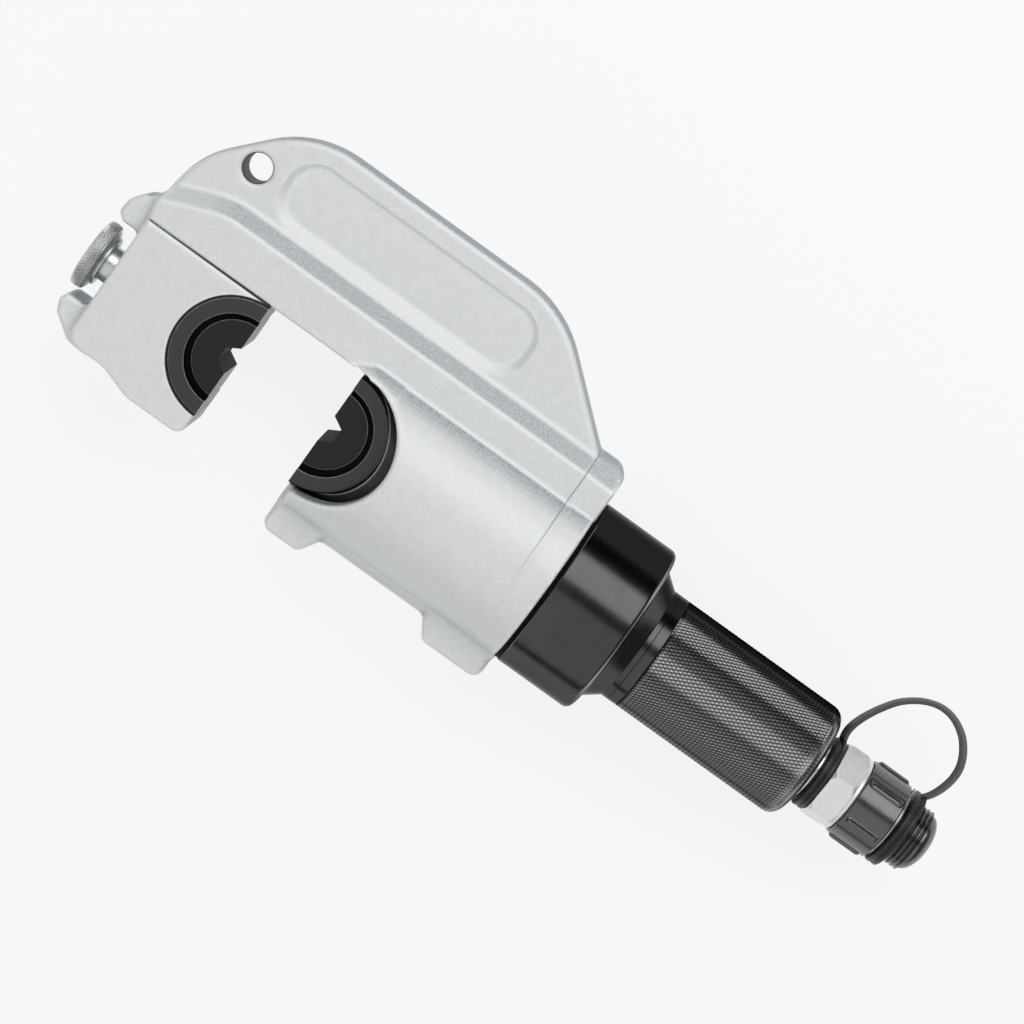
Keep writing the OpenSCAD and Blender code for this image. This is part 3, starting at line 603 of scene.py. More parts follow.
def grid_skin(points: Array, wrap_rows: bool, wrap_columns: bool) -> Skin:
    """Gives the skin of a grid of points [row, column, axis]."""
    rows, columns = points.shape[:2]
    return Skin(points.reshape(-1, 3), grid_faces(rows, columns, wrap_rows, wrap_columns).tolist())


def capped_skin(points: Array) -> Skin:
    """Gives the skin of a grid whose columns close round, with one face over its first row and one over its last.

    Args:
        points: Grid of points [row, column, axis].

    Returns:
        The closed skin.
    """
    skin = grid_skin(points, wrap_rows=False, wrap_columns=True)
    index = np.arange(len(skin.points)).reshape(points.shape[:2])
    skin.faces += [index[0].tolist(), index[-1, ::-1].tolist()]
    return skin


def creased(skin: Skin, height: Array) -> Skin:
    """Splits each quad of a grid's skin whose corners differ in height along its more level diagonal.

    Args:
        skin: Skin of a grid.
        height: Height of each of its points.

    Returns:
        The skin with those quads as triangles, so that grooves run straight through them.
    """
    quads = np.array(skin.faces)
    rise = height.ravel()[quads]
    level = np.abs(rise[:, 0] - rise[:, 2]) <= np.abs(rise[:, 1] - rise[:, 3])
    bent = np.ptp(rise, axis=1) > LEVEL
    first, other = quads[bent & level], quads[bent & ~level]
    faces = quads[~bent].tolist()
    for part, sides in ((first, ((0, 1, 2), (0, 2, 3))), (other, ((0, 1, 3), (1, 2, 3)))):
        for side in sides:
            faces += part[:, side].tolist()
    return Skin(skin.points, faces)


def rounded_outline(corners: Sequence[Corner], steps: int = 6) -> Array:
    """Rounds the corners of a closed outline.

    Each corner of radius r gives an arc: its centre lies r / sin(half the angle) along the corner's bisector, and
    its points run round that centre from one side's tangent point to the other's.

    Args:
        corners: Place and radius of each corner.
        steps: Parts of each arc.

    Returns:
        Points of the outline.
    """
    flat = np.array([c[:2] for c in corners], float)
    pieces = []
    for before, here, after, corner in zip(np.roll(flat, 1, 0), flat, np.roll(flat, -1, 0), corners):
        u, w = before - here, after - here
        half = math.acos(np.clip(u @ w / (np.linalg.norm(u) * np.linalg.norm(w)), -1, 1)) / 2
        if not corner[2] or half > STRAIGHT:
            pieces.append(here[None])
            continue
        reach = min(corner[2] / math.tan(half), np.linalg.norm(u) / 2, np.linalg.norm(w) / 2)
        u, w = u / np.linalg.norm(u), w / np.linalg.norm(w)
        centre = here + (u + w) / np.linalg.norm(u + w) * reach / math.cos(half)
        start, end = here + u * reach - centre, here + w * reach - centre
        first = math.atan2(start[1], start[0])
        turn = (math.atan2(end[1], end[0]) - first + math.pi) % FULL_TURN - math.pi
        angle = first + turn * np.linspace(0, 1, steps + 1)
        pieces.append(centre + np.linalg.norm(start) * np.stack([np.cos(angle), np.sin(angle)], -1))
    return np.concatenate(pieces)


def angles(steps: int) -> Array:
    """Gives angles that split a full turn evenly."""
    return np.arange(steps) * FULL_TURN / steps


def off_nearest(angle: Array, pitch: float) -> Array:
    """Gives how far angles lie from the nearest multiple of a pitch."""
    return np.abs((angle + pitch / 2) % pitch - pitch / 2)


def within(values: Array, span: Span) -> Array:
    """Tells which values lie inside a span."""
    return (span[0] < values) & (values < span[1])


def turned_points(profile: Array, steps: int) -> Array:
    """Carries a profile round the ram axis: point(s, a) = (x(s), r(s) sin a, r(s) cos a).

    Args:
        profile: Points [x, r] of the profile.
        steps: Points round the axis.

    Returns:
        Grid of points [profile, angle, axis].
    """
    angle = angles(steps)
    x, r = profile[:, :1], profile[:, 1:]
    return np.stack([x + 0 * angle, r * np.sin(angle), r * np.cos(angle)], -1)


def turned(corners: Sequence[Corner], steps: int = 144) -> Skin:
    """Gives the closed skin of a ring whose profile has these corners [x, r, rounding]."""
    return grid_skin(turned_points(rounded_outline(corners), steps), True, True)


def scaled_radius(points: Array, rise: Array) -> Array:
    """Moves points straight out from the ram axis.

    Args:
        points: Points [..., axis].
        rise: How far each of them moves.

    Returns:
        The moved points.
    """
    reach = np.hypot(points[..., 1], points[..., 2])
    share = 1 + rise / np.maximum(reach, TINY)
    return np.stack([points[..., 0], points[..., 1] * share, points[..., 2] * share], -1)


def raised_skin(front: Array, middle: Array, rear: Array, steps: int, rise: Array, grooved: bool = False) -> Skin:
    """Turns a profile and raises its middle rows by a pattern.

    Args:
        front: Profile [x, r] before the patterned rows.
        middle: Profile of the patterned rows.
        rear: Profile after them.
        steps: Points round the axis.
        rise: Height of the pattern at each patterned row and angle.
        grooved: Whether quads are split along the pattern's grooves.

    Returns:
        The closed skin.
    """
    points = turned_points(np.concatenate([front, middle, rear]), steps)
    height = np.zeros(points.shape[:2])
    height[len(front):len(front) + len(middle)] = rise
    skin = grid_skin(scaled_radius(points, height), True, True)
    return creased(skin, height) if grooved else skin


def diamond(around: Array, along: Array, flat: float) -> Array:
    """Height, 0 to 1, of a diamond knurl: two families of grooves cross, and each point takes the lower of both.

    Args:
        around: Place round the axis, in pitches.
        along: Place along the axis, in pitches.
        flat: Share of the way up at which a diamond is cut flat.

    Returns:
        Height at each place.
    """
    rise = [1 - np.abs(2 * (w % 1) - 1) for w in (around + along, around - along)]
    return np.minimum(np.minimum(*rise) / flat, 1)


def least(first: Array, second: Array, soft: float) -> Array:
    """Joins two distance fields by their least, with a fillet.

    h, the share of the first field, grows from 0 to 1 while the second goes from soft below it to soft above. The
    result mixes both fields by h and sinks by soft h (1 - h).

    Args:
        first: One field.
        second: The other field.
        soft: About how wide the fillet is, or 0 for a sharp corner.

    Returns:
        The joined field.
    """
    if not soft:
        return np.minimum(first, second)
    h = np.clip(0.5 + 0.5 * (second - first) / soft, 0, 1)
    return second + (first - second) * h - soft * h * (1 - h)


def most(first: Array, second: Array, soft: float) -> Array:
    """Meets two distance fields by their most, with an edge rounded about as wide as soft."""
    return -least(-first, -second, soft)


def rounded_edge(side: Array, face: Array, radius: float) -> Array:
    """Meets two distance fields in an edge of that radius: both move in by it and the result moves out again."""
    a, b = side + radius, face + radius
    return np.minimum(np.maximum(a, b), 0) + np.hypot(np.maximum(a, 0), np.maximum(b, 0)) - radius


def outline_distance(outline: Array, x: Array, y: Array) -> Array:
    """Signed distance of places to a closed outline.

    The distance is the least of those to the outline's sides, and it is negative where a ray from the place crosses
    an odd number of sides.

    Args:
        outline: Points of the outline.
        x: First coordinate of the places.
        y: Second coordinate of the places.

    Returns:
        Distance of each place, negative inside.
    """
    shape = np.broadcast(x, y).shape
    nearest = np.full(shape, np.inf, np.float32)
    inside = np.zeros(shape, bool)
    for (ax, ay), (bx, by) in zip(outline, np.roll(outline, -1, 0)):
        ex, ey = bx - ax, by - ay
        wx, wy = x - ax, y - ay
        t = np.clip((wx * ex + wy * ey) / (ex * ex + ey * ey), 0, 1)
        nearest = np.minimum(nearest, (wx - ex * t) ** 2 + (wy - ey * t) ** 2)
        if ey:
            inside ^= ((ay > y) != (by > y)) & (wx < wy * ex / ey)
    return np.where(inside, -1, 1) * np.sqrt(nearest)


@dataclass(frozen=True)
class Contour:
    """Mesher of a distance field's zero surface on an even grid, which keeps sharp edges.

    Each grid edge that the surface crosses gives a point and a normal. Each cell's vertex is the place that lies
    nearest to all the planes of its crossed edges, drawn slightly to their mean. Each crossed edge gives one quad
    between the four cells round it.
    """

    field: FieldRule
    low: Place
    high: Place
    step: float
    pull: float = 0.05
    probe: float = 0.02

    def skin(self) -> Skin:
        """Meshes the surface.

        Returns:
            Its points and quads.
        """
        axes = [np.arange(a, b + self.step, self.step, dtype=np.float32) for a, b in zip(self.low, self.high)]
        values = self.field(axes[0][:, None, None], axes[1][None, :, None], axes[2][None, None, :])
        inside = values < 0
        crossings, cells, quads = [], [], []
        strides = np.array([values.shape[1] * values.shape[2], values.shape[2], 1])
        for axis in range(3):
            points, around, forward = self._crossed(values, inside, axes, axis, strides)
            crossings.append(points)
            cells.append(around)
            quads.append(np.where(forward[:, None], around, around[:, ::-1]))
        points = np.concatenate(crossings)
        normals = self._normals(points)
        cells, quads = np.concatenate(cells), np.concatenate(quads)
        used, index = np.unique(cells.ravel(), return_inverse=True)
        corner = np.stack(np.unravel_index(used, values.shape), -1) * self.step + np.array(self.low)
        vertices = self._settled(points, normals, index.reshape(-1, 4), corner)
        return Skin(vertices, np.searchsorted(used, quads).tolist())

    def _crossed(self, values: Array, inside: Array, axes: Sequence[Array], axis: int,
                 strides: Array) -> Tuple[Array, Array, Array]:
        """Finds the grid edges along one axis that the surface crosses.

        Args:
            values: Field at the grid's points.
            inside: Where the field is negative.
            axes: Coordinates of the grid's points.
            axis: Axis of the edges.
            strides: Index steps of the grid along its axes.

        Returns:
            Crossing points, the four cells round each, and whether the surface faces along the axis.
        """
        before = [slice(None)] * 3
        after = [slice(None)] * 3
        before[axis], after[axis] = slice(0, -1), slice(1, None)
        places = np.argwhere(inside[tuple(before)] != inside[tuple(after)])
        tips = places.copy()
        tips[:, axis] += 1
        first, last = values[tuple(places.T)], values[tuple(tips.T)]
        points = np.stack([axes[k][places[:, k]] for k in range(3)], -1).astype(float)
        points[:, axis] += self.step * first / (first - last)
        base = places @ strides
        a, b = strides[(axis + 1) % 3], strides[(axis + 2) % 3]
        around = np.stack([base - a - b, base - b, base, base - a], -1)
        return points, around, first < 0

    def _normals(self, points: Array) -> Array:
        """Gives the field's direction, from four tries at the corners of a small tetrahedron.

        Args:
            points: Where to look.

        Returns:
            Unit vector at each point.
        """
        total = np.zeros_like(points)
        for signs in ((1, -1, -1), (-1, -1, 1), (-1, 1, -1), (1, 1, 1)):
            tip = (points + np.array(signs) * self.probe * self.step).astype(float)
            total += np.array(signs) * self.field(tip[:, 0], tip[:, 1], tip[:, 2])[:, None]
        return total / np.maximum(np.linalg.norm(total, axis=1, keepdims=True), TINY)

    def _settled(self, points: Array, normals: Array, index: Array, corner: Array) -> Array:
        """Places each cell's vertex: least squares on its planes, held inside the cell.

        Args:
            points: Crossing points.
            normals: Field directions there.
            index: The four cells round each crossing.
            corner: Lowest corner of each cell.

        Returns:
            A vertex for each cell.
        """
        count = len(corner)
        flat = index.ravel()

        def gathered(values: Array) -> Array:
            """Sums a value of the crossings over the cells round them."""
            return np.bincount(flat, np.repeat(values, 4), count)

        share = gathered(np.ones(len(points)))
        mean = np.stack([gathered(points[:, k]) for k in range(3)], -1) / share[:, None]
        matrix = np.empty((count, 3, 3))
        for i in range(3):
            for j in range(i, 3):
                matrix[:, i, j] = matrix[:, j, i] = gathered(normals[:, i] * normals[:, j])
        reach = (normals * points).sum(1)
        wanted = np.stack([gathered(normals[:, k] * reach) for k in range(3)], -1)
        wanted -= (matrix @ mean[:, :, None])[:, :, 0]
        matrix += self.pull * np.eye(3)
        vertices = mean + np.linalg.solve(matrix, wanted[:, :, None])[:, :, 0]
        return np.clip(vertices, corner, corner + self.step)


@dataclass(frozen=True)
class Bench:
    """Puts skins into Blender as pieces of the object."""

    datum: Datum
    weld_gap: float = 0.002

    def piece(self, name: str, skin: Skin, finish: Finish, stands_for: Sequence[str], body: Optional[str],
              sharp: float = 32.0, weld: bool = True) -> bpy.types.Object:
        """Makes one piece of the object.

        Args:
            name: Name of the piece.
            skin: Its surface.
            finish: Its finish.
            stands_for: CAD nodes that it replaces.
            body: Body that it rides on, or nothing.
            sharp: Angle in degrees past which an edge is shaded sharp.
            weld: Whether poles and seams are merged and the faces turned outwards.

        Returns:
            The piece's object.
        """
        mesh = bpy.data.meshes.new(name)
        mesh.from_pydata(self.datum.metres(skin.points).tolist(), [], skin.faces)
        if weld:
            work = bmesh.new()
            work.from_mesh(mesh)
            bmesh.ops.remove_doubles(work, verts=work.verts, dist=self.weld_gap * MM)
            bmesh.ops.recalc_face_normals(work, faces=work.faces)
            work.to_mesh(mesh)
            work.free()
        mesh.shade_smooth()
        mesh.set_sharp_from_angle(angle=math.radians(sharp))
        mesh.materials.append(finish.material())
        piece = bpy.data.objects.new(name, mesh)
        bpy.context.scene.collection.objects.link(piece)
        if body:
            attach(piece, body)
        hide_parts(*stands_for)
        LOG.info("%s: %d points, %d faces", name, len(mesh.vertices), len(mesh.polygons))
        return piece

    def repaint(self, piece: bpy.types.Object, finish: Finish, chosen: FaceRule) -> None:
        """Gives another finish to some faces of a piece.

        Args:
            piece: The piece's object.
            finish: Finish to give.
            chosen: Rule that picks faces by their middles [face, axis], in tool millimetres.
        """
        mesh = piece.data
        mesh.materials.append(finish.material())
        count = len(mesh.polygons)
        middles, slots = np.empty(count * 3, np.float32), np.empty(count, np.int32)
        mesh.polygons.foreach_get("center", middles)
        mesh.polygons.foreach_get("material_index", slots)
        places = (middles.reshape(-1, 3).astype(float) - np.array(self.datum.origin)) / MM
        slots[chosen(places)] = len(mesh.materials) - 1
        mesh.polygons.foreach_set("material_index", slots)
        mesh.update()

    def dress(self, finish: Finish, *nodes: str) -> None:
        """Gives CAD nodes that keep their solids a finish.

        Args:
            finish: Finish to give.
            nodes: Names of the nodes.
        """
        for node in nodes:
            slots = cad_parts[node].data.materials
            slots.clear()
            slots.append(finish.material())
            LOG.info("%s: dressed in %s", node, finish.name)


@dataclass(frozen=True)
class ForgedEdges:
    """Radii of the forging's edges, and about how wide its fillets are."""

    web: float = 1.6
    flange: float = 1.3
    roof: float = 0.9
    roof_bend: float = 2.0
    jaw: float = 1.4
    horn: float = 1.8
    lug: float = 2.0
    ridge: float = 1.0
    barrel: float = 1.4
    rim: float = 1.2
    notch: float = 2.0
    hang: float = 2.2
    web_fillet: float = 1.2
    horn_fillet: float = 3.6
    barrel_fillet: float = 0.9
    fairing_fillet: float = 1.2
    rim_fillet: float = 0.8
    lug_fillet: float = 3.0
    ridge_fillet: float = 2.5


@dataclass(frozen=True)
class ForgedFrame:
    """The forged C frame: web and spine, flange, jaw block, horns, barrel and foot lugs, in one blended skin.

    Corners of the outlines are x, y and rounding.
    """

    bench: Bench
    edges: ForgedEdges = ForgedEdges()
    web_half: float = 9.0
    flange_half: float = 16.5
    jaw_half: float = 17.0
    horn_half: float = 10.0
    lug_half: float = 8.0
    ridge_half: float = 1.2
    head_x: float = -184.0
    jaw_x: float = -133.0
    front_x: float = -92.0
    back_x: float = -51.8
    rear_x: float = -1.5
    nose_y: float = 29.0
    brow_run: float = 1.6
    brow_y: float = 49.2
    crown_run: float = 29.4
    spine_y: float = 79.5
    throat_y: float = 23.2
    jaw_steps: Tuple[Span, Span] = ((-168.0, -27.5), (-156.0, -31.5))
    horn_run: float = 10.4
    horn_root_x: float = -176.0
    slope_y: float = 45.6
    slope_h: float = 6.0
    bend_x: float = -164.0
    bend_degrees: float = 22.0
    barrel_r: float = 32.5
    rim_rise: float = 0.4
    rim_len: float = 9.5
    rim_lead: float = 1.0
    rim_blend: float = 1.5
    plate_len: float = 11.8
    rim_y: float = 46.4
    fairing: float = 0.45
    fairing_len: float = 12.0
    fairing_end_x: float = -80.0
    fairing_gap: float = 0.4
    bore_r: float = 24.6
    seat_r: float = 26.45
    seat_x: float = -13.0
    notch_r: float = 23.2
    notch_x: float = -91.0
    notch_lead: float = 5.0
    die_seat_r: float = 22.25
    bush_bore_r: float = 5.05
    pin_bore_r: float = 3.05
    bush_bore_x: float = -160.2
    hang: Circle = (-164.0, 58.0, 5.15)
    pocket: Tuple[float, float, float, float] = (-154.0, -51.5, 46.6, 72.9)
    pocket_r: float = 12.0
    pocket_depth: float = 1.8
    pocket_walls: Span = (4.2, 1.4)
    lug_y: float = -42.6
    lug_shoulder_y: float = -35.5
    lug_root_y: float = -24.0
    lug_lead: float = 1.5
    front_lug_x: Span = (-78.0, -73.5)
    rear_lug_x: Span = (-29.5, -25.0)
    ridge_y: float = -36.0
    draft: float = 0.1
    grid: float = 0.95
    room_low: Place = (14.3, 2.3, 2.5)
    room_high: Place = (2.2, 2.2, 2.5)

    def build(self) -> None:
        """Meshes the frame's field and makes it a piece."""
        low = np.array((self.head_x, self.lug_y, -self.barrel_r)) - self.room_low
        high = np.array((self.rear_x, self.spine_y, self.barrel_r)) + self.room_high
        skin = Contour(self.field, tuple(low.tolist()), tuple(high.tolist()), self.grid).skin()
        self.bench.piece("forged_frame", skin, FORGED_STEEL, ["c_frame"], "frame", sharp=42.0, weld=False)

    def web_outline(self) -> Array:
        """Outline of the web: nose, brow, spine, back slope, rim and throat.

        Returns:
            Its points.
        """
        return rounded_outline([
            (self.head_x - 1, self.nose_y, 0), (self.head_x + self.brow_run, self.brow_y, 40),
            (self.head_x + self.crown_run, self.spine_y, 38), (self.back_x, self.spine_y, 42.6),
            (self.rear_x - self.plate_len, self.rim_y, 3), (self.rear_x, self.rim_y, 5), (self.rear_x, 0, 0),
            (self.front_x, 0, 0), (self.front_x, self.throat_y, 0), (self.head_x, self.throat_y, 0)], steps=9)

    def jaw_outline(self) -> Array:
        """Outline of the jaw block with its stepped lower edge.

        Returns:
            Its points.
        """
        (step_x, step_y), (foot_x, foot_y) = self.jaw_steps
        return rounded_outline([
            (self.head_x, self.throat_y, 0), (self.head_x, step_y, 6), (step_x, step_y, 12), (foot_x, foot_y, 12),
            (self.jaw_x, foot_y, 4), (self.jaw_x, self.throat_y, 0)])

    def horn_outlines(self) -> Tuple[Array, Array]:
        """Outlines of the two horns that guard the latch knob.

        Returns:
            Points of the upper and of the lower one.
        """
        root, tip = self.horn_root_x, self.head_x - self.horn_run
        upper = [(root, 30.5, 0), (self.head_x, 31.2, 2), (-190, 28.2, 3), (tip + 0.8, 24.2, 2.5), (tip, 18.6, 2.5),
                 (tip + 3, 16.2, 2), (root, 16.2, 0)]
        lower = [(root, -14.8, 0), (tip + 1.5, -14.8, 2.5), (tip, -18, 2.5), (tip + 1.8, -22.6, 2.5),
                 (self.head_x, -28.9, 4), (root, -29, 0)]
        return rounded_outline(upper), rounded_outline(lower)

    def lug_outlines(self) -> Tuple[Array, Array, Array]:
        """Outlines of the foot lugs and of the parting ridge between them.

        Returns:
            Points of the front lug, the rear lug and the ridge.
        """
        root, shoulder, foot = self.lug_root_y, self.lug_shoulder_y, self.lug_y
        lead = self.front_x - self.lug_lead
        (front_foot, front_end), (rear_end, rear_foot) = self.front_lug_x, self.rear_lug_x
        front = [(lead, root, 0), (lead, foot, 4), (front_foot, foot, 3.5), (front_end, shoulder, 0),
                 (front_end, root, 0)]
        rear = [(rear_end, root, 0), (rear_end, shoulder, 0), (rear_foot, foot, 3.5), (self.rear_x, foot, 4),
                (self.rear_x, root, 0)]
        ridge = [(front_foot, root, 0), (front_foot, self.ridge_y, 0), (rear_foot, self.ridge_y, 0),
                 (rear_foot, root, 0)]
        return rounded_outline(front), rounded_outline(rear), rounded_outline(ridge)

    def field(self, x: Array, y: Array, z: Array) -> Array:
        """Signed distance to the forging: blended bodies less the machined cuts.

        Args:
            x: Places along the ram axis.
            y: Places towards the spine.
            z: Places square to the plate.

        Returns:
            The field, negative inside.
        """
        z = np.abs(z)
        solid = least(self._plate(x, y, z), self._barrel(x, y, z), self.edges.barrel_fillet)
        *lugs, between = self.lug_outlines()
        for outline in lugs:
            lug = rounded_edge(outline_distance(outline, x, y), z - self.lug_half, self.edges.lug)
            solid = least(solid, lug, self.edges.lug_fillet)
        ridge = most(outline_distance(between, x, y), z - self.ridge_half, self.edges.ridge)
        solid = least(solid, ridge, self.edges.ridge_fillet)
        return self._machined(solid, x, y, z)

    def _plate(self, x: Array, y: Array, z: Array) -> Array:
        """Web with its sunk pocket, flange under its sloped roof, jaw block and horns.

        Args:
            x: Places along the ram axis.
            y: Places towards the spine.
            z: Distances from the middle plane.

        Returns:
            The field of these bodies.
        """
        outline = outline_distance(self.web_outline(), x, y)
        side = outline - self.draft * np.maximum(self.web_half - z, 0)
        web = rounded_edge(side, z - self.web_half + self._sunk(x, y), self.edges.web)
        flange = rounded_edge(outline, z - self.flange_half, self.edges.flange)
        flange = most(flange, self._roof(x, y, z), self.edges.roof)
        plate = least(web, flange, self.edges.web_fillet)
        jaw = rounded_edge(outline_distance(self.jaw_outline(), x, y), z - self.jaw_half, self.edges.jaw)
        plate = np.minimum(plate, jaw)
        for horn_outline in self.horn_outlines():
            horn = rounded_edge(outline_distance(horn_outline, x, y), z - self.horn_half, self.edges.horn)
            plate = least(plate, horn, self.edges.horn_fillet)
        return plate

    def _sunk(self, x: Array, y: Array) -> Array:
        """Depth of the pocket: an even fall inside a round cornered rectangle, wide at its foot and steep at its top.

        Args:
            x: Places along the ram axis.
            y: Places towards the spine.

        Returns:
            Depth at each place.
        """
        left, right, foot, top = self.pocket
        dx = np.abs(x - (left + right) / 2) - (right - left) / 2 + self.pocket_r
        dy = np.abs(y - (foot + top) / 2) - (top - foot) / 2 + self.pocket_r
        edge = np.hypot(np.maximum(dx, 0), np.maximum(dy, 0)) + np.minimum(np.maximum(dx, dy), 0) - self.pocket_r
        return self.pocket_depth * np.clip(-edge / np.interp(y, (foot, top), self.pocket_walls), 0, 1)

    def _roof(self, x: Array, y: Array, z: Array) -> Array:
        """Slope from the flange's face up to the web's, and the same slope bent down at the nose.

        Args:
            x: Places along the ram axis.
            y: Places towards the spine.
            z: Distances from the middle plane.

        Returns:
            The field of what lies under both slopes.
        """
        run = self.flange_half - self.web_half
        turn = math.radians(self.bend_degrees)
        bent = (y - self.slope_y) * math.cos(turn) - (x - self.bend_x) * math.sin(turn)
        reach = math.hypot(run, self.slope_h)
        straight, lowered = (
            (rise * run + (z - self.web_half) * self.slope_h) / reach for rise in (y - self.slope_y, bent))
        return most(straight, lowered, self.edges.roof_bend)

    def _barrel(self, x: Array, y: Array, z: Array) -> Array:
        """Cylinder barrel with its rim ring, its fairing to the flange, and the plate that carries the rim up.

        The rim rises by a smooth step t t (3 - 2 t), and the fairing is a cone that narrows in front of the barrel.

        Args:
            x: Places along the ram axis.
            y: Places towards the spine.
            z: Distances from the middle plane.

        Returns:
            The field of these bodies.
        """
        radial = np.hypot(y, z)
        t = np.clip((x - self.rear_x + self.rim_len + self.rim_lead) / self.rim_blend, 0, 1)
        wall = radial - self.barrel_r - self.rim_rise * t * t * (3 - 2 * t)
        barrel = rounded_edge(wall, np.maximum(self.front_x - x, x - self.rear_x), self.edges.barrel)
        cone = radial - self.barrel_r + self.fairing * np.maximum(self.front_x - x, 0)
        for limit in (self.front_x - self.fairing_len - x, x - self.fairing_end_x,
                      self.throat_y + self.fairing_gap - y):
            cone = np.maximum(cone, limit)
        start = self.rear_x - self.plate_len
        rim = rounded_outline([(start, 0, 0), (start, self.rim_y, 1.5), (self.rear_x, self.rim_y, 5),
                               (self.rear_x, 0, 0)])
        plate = rounded_edge(outline_distance(rim, x, y), z - self.flange_half - self.rim_rise, self.edges.rim)
        plate = most(plate, self._roof(x, y, z) - self.rim_rise, self.edges.roof)
        return least(least(barrel, cone, self.edges.fairing_fillet), plate, self.edges.rim_fillet)

    def _machined(self, solid: Array, x: Array, y: Array, z: Array) -> Array:
        """Cuts the bore, the base's seat, the notch, the die seat, the latch bores and the hanging hole.

        Args:
            solid: Field of the uncut forging.
            x: Places along the ram axis.
            y: Places towards the spine.
            z: Distances from the middle plane.

        Returns:
            The field of the cut forging.
        """
        radial = np.hypot(y, z)
        along = x - self.notch_x
        notch = np.minimum(np.hypot(along, y) - self.notch_r, np.maximum(along, np.abs(y) - self.notch_r))
        cuts = (
            (np.maximum(radial - self.bore_r, self.jaw_x - x), 0.0),
            (np.maximum(radial - self.seat_r, self.seat_x - x), 0.0),
            (np.maximum(notch, self.front_x - self.notch_lead - x), self.edges.notch),
            (np.hypot(x - self.jaw_x, y) - self.die_seat_r, 0.0),
            (np.maximum(radial - self.bush_bore_r, x - self.bush_bore_x), 0.0),
            (np.maximum(radial - self.pin_bore_r, x - self.jaw_x), 0.0),
            (np.hypot(x - self.hang[0], y - self.hang[1]) - self.hang[2], self.edges.hang),
        )
        for cut, edge in cuts:
            solid = most(solid, -cut, edge)
        return solid


@dataclass(frozen=True)
class DiePair:
    """The two half round dies, each with stepped faces and half of a hexagonal cavity."""

    bench: Bench
    radius: float = 22.2
    half: float = 17.0
    recess_r: float = 16.6
    plate_r: float = 14.4
    chamfer: float = 0.5
    line: float = 0.3
    recess: float = 2.5
    groove: float = 4.0
    cavity_side: float = 5.25
    steps: int = 96
    flat_skin: float = 0.01
    cavity_lap: float = 0.1
    groove_lap: float = 0.02
    line_inset: float = 0.03

    def build(self) -> None:
        """Makes both dies: the upper one faces the coupler, the lower one rides on the ram."""
        upper_face = self.bench.datum.span("upper_die")[1]
        lower_face = self.bench.datum.span("lower_die")[0]
        for name, node, body, face, sign in (("crimp_die_upper", "upper_die", "frame", upper_face, -1),
                                             ("crimp_die_lower", "lower_die", "ram", lower_face, 1)):
            die = self.bench.piece(name, self.skin(face, sign), BLACK_OXIDE, [node], body, sharp=30.0)
            cavity, plate = self.cavity_side + self.cavity_lap, self.plate_r - self.line
            for finish, reach in ((DIE_PLATE, (cavity, plate)),
                                  (DIE_CAVITY, (0, cavity)),
                                  # Painted shade in the groove between the plate and the rim.
                                  (DIE_GROOVE_SHADE, (self.plate_r - self.groove_lap, self.recess_r + self.groove_lap)),
                                  # Painted highlights on the edges of the plate and of the rim.
                                  (DIE_EDGE_HIGHLIGHT, (plate, self.plate_r - self.line_inset)),
                                  (DIE_EDGE_HIGHLIGHT, (self.recess_r + self.line_inset, self.recess_r + self.line)),
                                  # The upper die's outer chamfer gets a painted highlight, the lower die's painted
                                  # shade.
                                  (DIE_EDGE_HIGHLIGHT if sign < 0 else DIE_GROOVE_SHADE,
                                   (self.radius - self.chamfer, self.radius - self.line_inset))):
                self.bench.repaint(die, finish, lambda p, at=face, span=reach: (
                    (np.abs(p[:, 0] - at) > self.flat_skin) & within(np.hypot(p[:, 0] - at, p[:, 1]), span)))

    def profile(self, inner: Array) -> Array:
        """Section of a die from its cavity outwards, as [angle, point, (radius, z)].

        Args:
            inner: Cavity's radius at each angle.

        Returns:
            Closed section at each angle, with the recess and its groove on both faces.
        """
        plate_z, groove_z = self.half - self.recess, self.half - self.groove
        outer = [(self.plate_r - self.line, plate_z), (self.plate_r, plate_z - self.line), (self.plate_r, groove_z),
                 (self.recess_r, groove_z), (self.recess_r, self.half - self.line),
                 (self.recess_r + self.line, self.half), (self.radius - self.chamfer, self.half),
                 (self.radius, self.half - self.chamfer)]
        loop = np.array(outer + [(r, -z) for r, z in reversed(outer)])
        loop = np.broadcast_to(loop, (len(inner), *loop.shape))
        first = np.stack([inner, np.full_like(inner, plate_z)], -1)[:, None]
        last = np.stack([inner, np.full_like(inner, -plate_z)], -1)[:, None]
        return np.concatenate([first, loop, last], 1)

    def skin(self, face: float, sign: int) -> Skin:
        """Carries the section round half a turn about the die's face, and closes both ends.

        The cavity's radius at an angle is that of a hexagon with corners on the face's line.

        Args:
            face: Place of the die's flat face along the ram axis.
            sign: 1 if the die's body lies towards the coupler, or -1.

        Returns:
            The die's skin.
        """
        angle = np.linspace(-math.pi / 2, math.pi / 2, self.steps + 1)
        apothem = self.cavity_side * math.cos(math.pi / 6)
        off = (angle + math.pi / 2) % (math.pi / 3) - math.pi / 6
        section = self.profile(apothem / np.cos(off))
        r, z = section[..., 0], section[..., 1]
        points = np.stack([face + sign * r * np.cos(angle)[:, None], r * np.sin(angle)[:, None], z], -1)
        return capped_skin(points)


